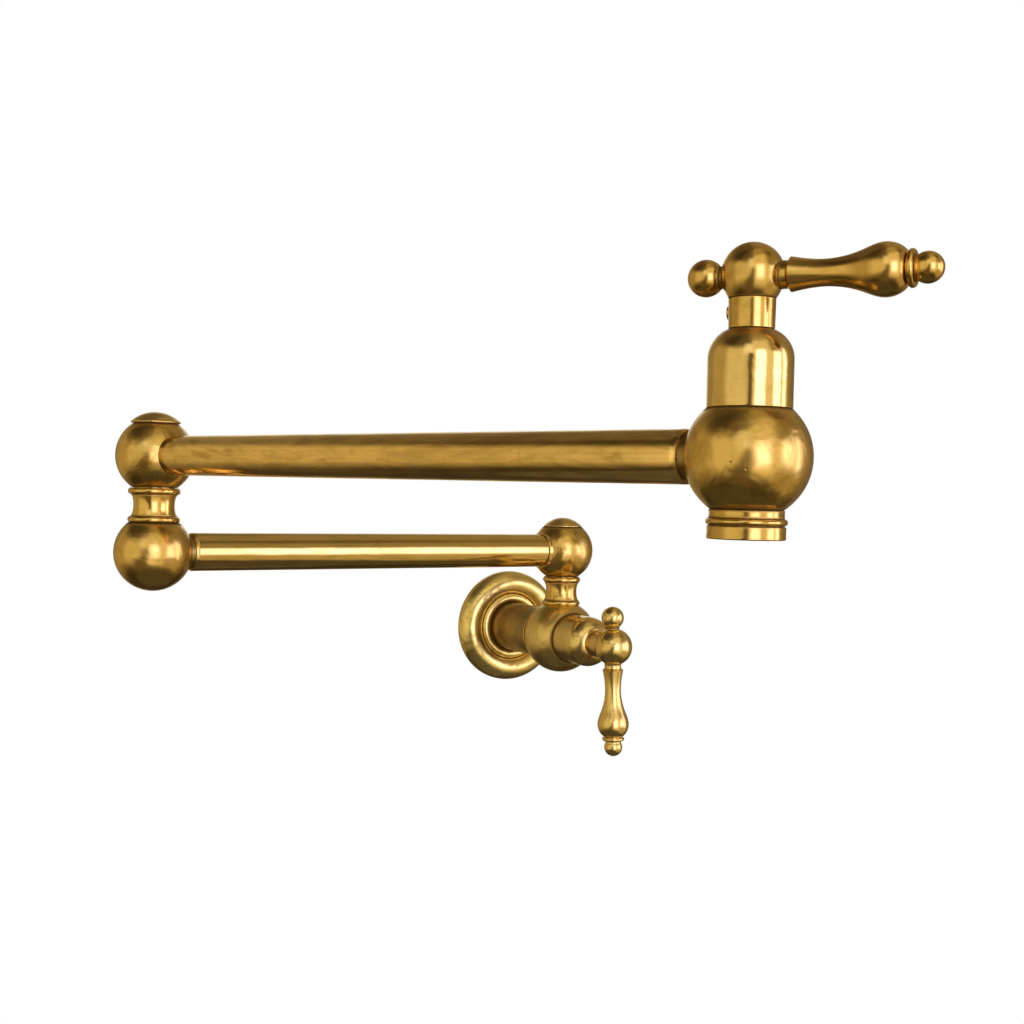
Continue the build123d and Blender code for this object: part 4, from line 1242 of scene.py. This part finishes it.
class POTFILLER_OT_swivels(Operator):
    """Spool posts, the balls that turn on them, and their caps"""

    bl_idname = "pot_filler.swivels"
    bl_label = "Swivels"

    def execute(self, context):
        tap = context.scene.pot_filler
        balls, swivels, stance = tap.balls, tap.swivels, Stance(tap)
        wall_seat = across(balls.valve, swivels.wall_bead - swivels.lower_inset)
        elbow_seat = across(balls.elbow, swivels.elbow_bead - swivels.lower_inset)
        post = (wall_seat - balls.swivel_height, swivels.wall_bead, swivels.wall_neck)
        cap = (swivels.first_cap, swivels.first_cap_seat)
        wall = Swivel(tap, balls.first, *post, *cap)
        place = stand(stance.wall_swivel, UP, stance.first_way)
        self.build(wall, place, "wall_swivel", "root", "first_arm")
        post = (elbow_seat - balls.elbow_height, swivels.elbow_bead, swivels.elbow_neck)
        cap = (swivels.second_cap, swivels.second_cap_seat)
        elbow = Swivel(tap, balls.elbow, *post, *cap)
        place = stand(stance.elbow_swivel, UP, stance.second_way)
        self.build(elbow, place, "elbow_swivel", "first_arm", "second_arm")
        self.lower_ball(tap, stance, elbow_seat)
        return {"FINISHED"}

    def build(self, swivel, place, joint, body, arm):
        """Post on one body, and on the arm the ball that turns on it, with its cap."""
        outline, seams = swivel.post()
        mesh = lathe(outline, place, seams, reach=0.0007)
        show(f"{joint}_post_brass", mesh, body, "post brass", "turned_brass", f"{joint}_post")
        outline, seams = swivel.ball()
        mesh = lathe(outline, place, seams, reach=0.0017)
        show(f"{arm}_ball_brass", mesh, arm, "ball brass", "aged_brass", f"{arm}_ball")
        outline, seams = swivel.cap()
        mesh = lathe(outline, place, seams, reach=0.0003)
        # The cap's paler brass is painted light, for the bright ceiling that it mirrors
        show(f"{arm}_cap_brass", mesh, arm, "soft brass", "aged_brass", f"{arm}_cap")
        dress("machined brass", f"{joint}_nut")
        dress("rubber", f"{joint}_seals")

    def lower_ball(self, tap, stance, seat):
        """Ball under the elbow's post, at the first arm's end, and its neck."""
        balls, swivels = tap.balls, tap.swivels
        bore, floor = swivels.thread + FIT, seat - swivels.thread_length - FIT
        outline = [
            (0, -balls.elbow),
            *ball_side(balls.elbow, balls.elbow * 0.9999, seat)[1:],
            (bore, seat),
            (bore, floor),
            (0, floor),
        ]
        name, arm, slot = "elbow_lower_ball", "first_arm", "aged_brass"
        place = stand(stance.elbow_base, UP, stance.first_way)
        seams = [(swivels.elbow_bead - swivels.lower_inset, seat)]
        mesh = lathe(outline, place, seams, reach=0.0017)
        show(f"{name}_brass", mesh, arm, "ball brass", slot, name)
        neck = neck_outline(tap.tubes, balls.elbow, tap.tubes.elbow_neck)
        mesh = lathe(neck, stand(stance.elbow_base, -stance.first_way, UP))
        # The neck's darker brass is painted shade, where it sits between tube and ball
        show("elbow_neck", mesh, arm, "dull brass", slot)


class POTFILLER_OT_arm_tubes(Operator):
    """Tube of each arm, drawn along its line, and the ferrule"""

    bl_idname = "pot_filler.arm_tubes"
    bl_label = "Arm tubes"

    def execute(self, context):
        tap = context.scene.pot_filler
        tubes, balls, stance = tap.tubes, tap.balls, Stance(tap)
        first = stand(stance.wall_swivel, stance.first_way, UP)
        first_end = stance.first_reach - across(balls.elbow, tubes.neck) - tubes.elbow_neck
        self.tube(tubes, "first_arm", first, first_end, "tube brass")
        second = stand(stance.elbow_swivel, stance.second_way, UP)
        second_end = stance.second_reach - across(balls.valve, tubes.neck) - tubes.outlet_neck
        # The second tube takes a paler copy of the brass, as painted light
        self.tube(tubes, "second_arm", second, second_end, "rubbed brass")
        seat = across(balls.first, tubes.ferrule)
        inner, end = tubes.radius + FIT, seat + tubes.ferrule_length
        ferrule = [
            (inner, seat),
            (tubes.ferrule, seat),
            (tubes.ferrule, end, tubes.edge),
            (inner, end),
        ]
        name, slot = "first_arm_ferrule", "aged_brass"
        mesh = lathe(ferrule, first, [(tubes.radius, end)], reach=0.0003)
        show(f"{name}_brass", mesh, "first_arm", "tube brass", slot, name)
        return {"FINISHED"}

    def tube(self, tubes, arm, place, end, finish):
        """Tube from its seat in the arm's ball to its end, both ends bevelled."""
        board, sizes = new_tree(
            f"{arm} tube",
            {
                "Radius": tubes.radius,
                "Wall": tubes.wall,
                "Edge": tubes.edge,
                "Start": tubes.seat,
                "End": end,
                "Sides": 128,
                "Finish": finish_of(finish),
            },
        )
        ends = {name: board.join(0.0, 0.0, sizes[name]) for name in ("Start", "End")}
        path = board.node("GeometryNodeCurvePrimitiveLine", ends)
        path = board.node("GeometryNodeResampleCurve", {"Curve": path, "Count": 240})
        walked = board.node("GeometryNodeSplineParameter", out=1)
        run = sizes["End"] - sizes["Start"]
        from_end = board.maths("MINIMUM", walked, run - walked)
        cut = board.maths("MAXIMUM", sizes["Edge"] - from_end, 0.0)
        outer = skin(board, path, sizes["Sides"], sizes["Radius"] - cut)
        inner = skin(board, path, sizes["Sides"], sizes["Radius"] - sizes["Wall"])
        inner = board.node("GeometryNodeFlipFaces", {"Mesh": inner})
        both = board.node("GeometryNodeJoinGeometry", {0: [inner, outer]})
        mesh = grown(board, both, sizes["Finish"])
        close_ends(mesh)
        wrap_round(mesh)
        mesh.transform(place)
        show(f"{arm}_tube_brass", mesh, arm, finish, "aged_brass", f"{arm}_tube")


class POTFILLER_OT_nozzle(Operator):
    """Nozzle with its bead and plain lip, under the outlet ball"""

    bl_idname = "pot_filler.nozzle"
    bl_label = "Nozzle"

    def execute(self, context):
        tap = context.scene.pot_filler
        nozzle, stance = tap.nozzle, Stance(tap)
        seat = stance.nozzle_seat
        top = -seat - nozzle.neck_length
        foot = top - nozzle.bead_height
        lip = foot - nozzle.lip_gap
        end = lip - nozzle.lip_length
        outline = [
            (nozzle.pocket, end, 0.0003),
            (nozzle.lip, end, 0.0004),
            (nozzle.lip, lip, 0.00025),
            (nozzle.neck, lip),
            *bulge((nozzle.neck, foot), (nozzle.bead, (top + foot) / 2), (nozzle.neck, top)),
            (nozzle.neck, -seat),
            (nozzle.thread, -seat),
            (nozzle.thread, nozzle.thread_length - seat),
            (nozzle.bore, nozzle.thread_length - seat),
            (nozzle.bore, end + nozzle.pocket_depth),
            (nozzle.pocket, end + nozzle.pocket_depth),
        ]
        seams = [(nozzle.neck, lip), (nozzle.neck, top), (nozzle.neck, -seat)]
        mesh = lathe(outline, stance.outlet.place, seams, reach=0.0006)
        show("nozzle_brass", mesh, "second_arm", "post brass", "turned_brass", "nozzle")
        dress("moulded plastic", "aerator_housing")
        dress("rubber", "aerator_washer")
        return {"FINISHED"}


class POTFILLER_OT_aerator_screen(Operator):
    """Perforated screen of the aerator"""

    bl_idname = "pot_filler.aerator_screen"
    bl_label = "Aerator screen"

    def execute(self, context):
        tap = context.scene.pot_filler
        nozzle, stance = tap.nozzle, Stance(tap)
        finish = "moulded plastic"
        board, sizes = new_tree(
            "Perforated screen",
            {
                "Radius": nozzle.screen,
                "Thickness": nozzle.screen_thickness,
                "Hole": nozzle.hole,
                "Inner ring": nozzle.inner_ring,
                "Outer ring": nozzle.outer_ring,
                "Inner count": nozzle.inner_count,
                "Outer count": nozzle.outer_count,
                "Finish": finish_of(finish),
            },
        )
        plate = drum(board, 96, sizes["Radius"], sizes["Thickness"])
        drill = drum(board, 24, sizes["Hole"], sizes["Thickness"] * 1.6)
        for ring in ("Inner", "Outer"):
            spots = board.node(
                "GeometryNodeMeshCircle",
                {"Vertices": sizes[f"{ring} count"], "Radius": sizes[f"{ring} ring"]},
            )
            drills = board.node(
                "GeometryNodeInstanceOnPoints", {"Points": spots, "Instance": drill}
            )
            drills = board.node("GeometryNodeRealizeInstances", {0: drills})
            plate = drilled(board, plate, drills)
        plate = drilled(board, plate, drill)
        mesh = grown(board, plate, sizes["Finish"])
        wrap_round(mesh)
        end = nozzle.neck_length + nozzle.bead_height + nozzle.lip_gap + nozzle.lip_length
        level = nozzle.screen_level - nozzle.screen_thickness / 2 - stance.nozzle_seat - end
        mesh.transform(stance.outlet.place @ Matrix.Translation((0, 0, level)))
        name, slot = "aerator_screen", "aerator_insert"
        show(f"{name}_plate", mesh, "second_arm", finish, slot, name)
        return {"FINISHED"}


# Geometry Nodes


SOCKETS = {
    float: "NodeSocketFloat",
    int: "NodeSocketInt",
    bpy.types.Material: "NodeSocketMaterial",
}


def new_tree(name, inputs):
    """Board of a new Geometry Nodes tree, and a wire for each of its named inputs."""
    tree = bpy.data.node_groups.new(name, "GeometryNodeTree")
    tree.is_modifier = True
    tree.interface.new_socket("Geometry", in_out="OUTPUT", socket_type="NodeSocketGeometry")
    board = Board(tree)
    for label, value in inputs.items():
        kind = SOCKETS[type(value)]
        socket = tree.interface.new_socket(label, in_out="INPUT", socket_type=kind)
        board.inputs[socket.identifier] = value
    entry = tree.nodes.new("NodeGroupInput")
    return board, {label: Wire(board, entry.outputs[label]) for label in inputs}


def circle(board, sides, radius=1.0):
    """Round section."""
    return board.node(
        "GeometryNodeCurvePrimitiveCircle", {"Resolution": sides, "Radius": radius}
    )


def skin(board, path, sides, radius):
    """Round skin along a path."""
    section = circle(board, sides)
    return board.node(
        "GeometryNodeCurveToMesh", {"Curve": path, "Profile Curve": section, "Scale": radius}
    )


def drum(board, sides, radius, depth):
    """Solid cylinder along z."""
    return board.node(
        "GeometryNodeMeshCylinder", {"Vertices": sides, "Radius": radius, "Depth": depth}
    )


def drilled(board, plate, drills):
    """A plate less its drills."""
    return board.node(
        "GeometryNodeMeshBoolean", {0: plate, 1: drills}, operation="DIFFERENCE"
    )


def grown(board, geometry, finish):
    """End a tree with real mesh and its finish, and make a plain mesh from its inputs."""
    real = board.node("GeometryNodeRealizeInstances", {0: geometry})
    real = board.node("GeometryNodeSetMaterial", {"Geometry": real, "Material": finish})
    board.node("NodeGroupOutput", {0: real})
    name = board.tree.name
    holder = bpy.data.objects.new(name, bpy.data.meshes.new(name))
    bpy.context.scene.collection.objects.link(holder)
    modifier = holder.modifiers.new(name, "NODES")
    modifier.node_group = board.tree
    for identifier, value in board.inputs.items():
        modifier[identifier] = value
    deps = bpy.context.evaluated_depsgraph_get()
    mesh = bpy.data.meshes.new_from_object(holder.evaluated_get(deps))
    holder.modifiers.remove(modifier)
    bpy.data.objects.remove(holder)
    if not mesh.polygons:
        raise RuntimeError(f"{name} made no faces")
    return mesh


def close_ends(mesh):
    """Join the open rims of a tube's outer and inner skin."""
    shape = bmesh.new()
    shape.from_mesh(mesh)
    rims = [edge for edge in shape.edges if edge.is_boundary]
    middle = sum(edge.verts[0].co.z for edge in rims) / len(rims)
    for end in (
        [edge for edge in rims if edge.verts[0].co.z < middle],
        [edge for edge in rims if edge.verts[0].co.z >= middle],
    ):
        bmesh.ops.bridge_loops(shape, edges=end)
    for face in shape.faces:
        face.smooth = True
    bmesh.ops.recalc_face_normals(shape, faces=shape.faces)
    settle(shape, mesh)


def wrap_round(mesh, reach=0.0007):
    """Map of the angle round the z axis and the distance along it, and grime with painted shade
    at the ends.
    """
    shape = bmesh.new()
    shape.from_mesh(mesh)
    grime = shape.verts.layers.float.new("grime")
    low = min(vert.co.z for vert in shape.verts)
    high = max(vert.co.z for vert in shape.verts)
    for vert in shape.verts:
        # Grime at both ends, which also paints the shade where the tube meets its neck
        from_end = min(vert.co.z - low, high - vert.co.z)
        vert[grime] = 0.5 * math.exp(-((from_end / reach) ** 2))
    wrap = shape.loops.layers.uv.new("around")
    for face in shape.faces:
        middle = face.calc_center_median()
        home = math.atan2(middle.y, middle.x)
        for loop in face.loops:
            spot = loop.vert.co
            angle = math.atan2(spot.y, spot.x)
            angle += round((home - angle) / math.tau) * math.tau
            loop[wrap].uv = (angle / math.tau, spot.z)
    settle(shape, mesh)


# Studio


def seen_by(board):
    """Shares of camera rays, and of rays that reach here by mirror or glass."""
    camera, glossy, through = (
        board.node("ShaderNodeLightPath", out=out) for out in (0, 3, 6)
    )
    return camera, board.maths("MINIMUM", glossy + through, 1.0)


class POTFILLER_OT_studio(Operator):
    """Camera, pale floor and soft light"""

    bl_idname = "pot_filler.studio"
    bl_label = "Studio"

    def execute(self, context):
        scene = context.scene
        studio = scene.pot_filler.studio
        forward = Vector(
            (
                math.sin(studio.yaw) * math.cos(studio.pitch),
                math.cos(studio.yaw) * math.cos(studio.pitch),
                math.sin(studio.pitch),
            )
        )
        right = Vector((math.cos(studio.yaw), -math.sin(studio.yaw), 0))
        above = right.cross(forward)
        tilted = right * math.cos(studio.roll) + above * math.sin(studio.roll)
        camera = bpy.data.objects.new("camera", bpy.data.cameras.new("camera"))
        scene.collection.objects.link(camera)
        camera.data.sensor_width = 36
        camera.data.lens = studio.focal * 1000
        camera.data.clip_start = 0.01
        camera.matrix_world = stand(Vector(studio.camera), -forward, tilted)
        scene.camera = camera
        scene.view_settings.view_transform = "Standard"
        ahead = Vector((forward.x, forward.y, 0)).normalized()
        self.lay_floor(scene, studio, ahead)
        self.light(scene, studio, ahead, right)
        return {"FINISHED"}

    def lay_floor(self, scene, studio, ahead):
        """Pale floor. It ends in a white backdrop beyond the tap."""
        material, board = new_material("pale floor")
        place = board.node("ShaderNodeTexCoord", out=3)
        grain = board.noise(place, 9.0, 4.0)
        darker = [tone * 0.97 for tone in studio.floor]
        tint = board.blend(studio.floor, darker, board.rise(grain, 0.3, 0.7))
        matt = board.node("ShaderNodeBsdfDiffuse", {"Color": tint})
        glow = board.node("ShaderNodeEmission", {"Color": WHITE, "Strength": 1.0})
        from_middle = board.measure("LENGTH", place)
        edge = board.rise(from_middle, studio.floor_radius * 0.6, studio.floor_radius)
        seen, mirrored = seen_by(board)
        far = board.measure("DOT_PRODUCT", place, ahead)
        beyond = board.rise(far, studio.floor_radius * 0.96, studio.floor_radius)
        # Nearly white to the camera, and white in mirrors only far behind the tap
        white = seen * (edge * 0.14 + 0.86) + mirrored * beyond
        mixed = board.node("ShaderNodeMixShader", {0: white, 1: matt, 2: glow})
        end_material(board, mixed)
        disc = bmesh.new()
        bmesh.ops.create_circle(disc, cap_ends=True, segments=96, radius=studio.floor_radius)
        mesh = settle(disc, bpy.data.meshes.new("floor"))
        mesh.materials.append(material)
        floor = bpy.data.objects.new("floor", mesh)
        under = (JOINT["elbow_swivel"] + JOINT["outlet_lever_turn"]) / 2
        floor.location = (under.x, under.y, -studio.floor_drop)
        scene.collection.objects.link(floor)

    def light(self, scene, studio, ahead, right):
        """Room round the tap: windows before it, walls, and a white backdrop behind. The
        camera itself sees only white."""
        world = bpy.data.worlds.new("studio")
        scene.world = world
        world.use_nodes = True
        world.node_tree.nodes.clear()
        board = Board(world.node_tree)
        way = board.node("ShaderNodeTexCoord", out=0)
        sideways = board.measure("DOT_PRODUCT", way, right)
        nearer = board.measure("DOT_PRODUCT", way, -ahead)
        degrees = 180 / math.pi
        turn = board.maths("ARCTAN2", sideways, nearer) * degrees
        lift = board.maths("ARCSINE", board.part(way, 2)) * degrees

        def within(value, low, high, soft):
            """One between two values, with soft edges."""
            return board.rise(value, low - soft, low + soft) * board.fall(
                value, high - soft, high + soft
            )

        def area(left, right, low, high, soft, soft_lift):
            """One inside an area, in degrees to the right of the camera and upwards."""
            return within(turn, left, right, soft) * within(lift, low, high, soft_lift)

        def tinted(colour, level):
            return [tone * level for tone in colour]

        wall, shade, card, pane = studio.walls, studio.shade, studio.cards, studio.panes
        # Dark below, walls round the middle, shade overhead and far round to the right
        view = board.blend(tinted(shade, 0.08), tinted(wall, 0.40), board.rise(lift, -60, -12))
        view = board.blend(view, tinted(shade, 0.16), board.rise(lift, 18, 50))
        view = board.blend(view, tinted(shade, 0.24), board.rise(turn, 108, 138))
        for colour, level, *edges in (
            # Pale wall and boards to the left, then overhead and to the right
            (wall, 0.58, -125, -60, -22, 29, 9, 8),
            (card, 0.98, -76, -15, -20, 32, 12, 10),
            ((1.0, 1.0, 0.9), 1.35, -28, 6, 14, 46, 8, 8),
            (card, 1.10, -8, 62, 28, 64, 8, 10),
            (card, 1.15, -4, 103, -36, 34, 5, 12),
            # Walls below and above the right board, overhead, and far round to the right
            (wall, 0.62, 48, 106, -48, -15, 7, 6),
            (wall, 0.40, 48, 106, 20, 48, 7, 6),
            (wall, 0.58, -15, 112, 64, 120, 25, 10),
            (wall, 0.38, 105, 175, 24, 80, 15, 12),
            # Shade above and below the left wall
            (shade, 0.07, -110, -60, 37, 75, 7, 7),
            (shade, 0.06, -132, -60, -85, -36, 10, 7),
            # Three windows
            (pane, 3.9, 4, 31, -15, 24, 3, 7),
            (pane, 3.9, 54, 77, -11, 19, 3, 7),
            (pane, 3.6, 84, 97, -16, 24, 2, 7),
        ):
            view = board.blend(view, tinted(colour, level), area(*edges))
        # Dark upright shape left of the windows, that spreads to the left at its foot
        spread = board.rise(lift, -35, 3, 32.0, 0.0)
        figure = board.rise(turn + spread, -16, -13) * board.fall(turn, -6, -2)
        figure = figure * board.fall(lift, 8, 15) * board.rise(lift, -75, -55)
        view = board.blend(view, tinted(shade, 0.18), figure)
        # Shade low behind the tap, and the backdrop that shows in mirrors and to the camera
        far_round = board.maths("ABSOLUTE", turn)
        low_behind = board.rise(far_round, 120, 140) * board.fall(lift, -30, -20)
        view = board.blend(view, tinted(shade, 0.06), low_behind)
        seen, mirrored = seen_by(board)
        behind = board.rise(far_round, 155, 168)
        behind = behind * board.rise(lift, -10, -6) * board.fall(lift, 20, 32)
        view = board.blend(view, WHITE, seen + mirrored * behind)
        light = board.node("ShaderNodeBackground", {"Color": view, "Strength": 1.0})
        board.node("ShaderNodeOutputWorld", {"Surface": light})


class POTFILLER_PT_panel(Panel):
    """Pieces and settings of the pot filler"""

    bl_label = "Pot filler"
    bl_space_type = "VIEW_3D"
    bl_region_type = "UI"
    bl_category = "Pot filler"

    def draw(self, context):
        for operator in OPERATORS:
            self.layout.operator(operator.bl_idname)
        tap = context.scene.pot_filler
        for group in tap.bl_rna.properties:
            if group.type == "POINTER" and group.identifier != "rna_type":
                box = self.layout.box()
                box.label(text=group.identifier.replace("_", " ").capitalize())
                sizes = getattr(tap, group.identifier)
                for size in sizes.bl_rna.properties:
                    if size.identifier not in ("rna_type", "name"):
                        box.prop(sizes, size.identifier)


OPERATORS = (
    POTFILLER_OT_studio,
    POTFILLER_OT_wall_flange,
    POTFILLER_OT_inlet_shank,
    POTFILLER_OT_inlet_thread,
    POTFILLER_OT_valve_balls,
    POTFILLER_OT_bonnets,
    POTFILLER_OT_hubs,
    POTFILLER_OT_levers,
    POTFILLER_OT_swivels,
    POTFILLER_OT_arm_tubes,
    POTFILLER_OT_nozzle,
    POTFILLER_OT_aerator_screen,
)

CLASSES = (
    PotFillerBalls,
    PotFillerTubes,
    PotFillerSwivels,
    PotFillerInlet,
    PotFillerBonnet,
    PotFillerHandle,
    PotFillerNozzle,
    PotFillerMetal,
    PotFillerStudio,
    PotFillerSettings,
    *OPERATORS,
    POTFILLER_PT_panel,
)


def register():
    for kind in CLASSES:
        bpy.utils.register_class(kind)
    bpy.types.Scene.pot_filler = PointerProperty(type=PotFillerSettings)


def unregister():
    del bpy.types.Scene.pot_filler
    for kind in reversed(CLASSES):
        bpy.utils.unregister_class(kind)


def main():
    """Dress the tap, piece by piece."""
    register()
    for operator in OPERATORS:
        group, name = operator.bl_idname.split(".")
        getattr(getattr(bpy.ops, group), name)()


if __name__ == "__main__":
    main()
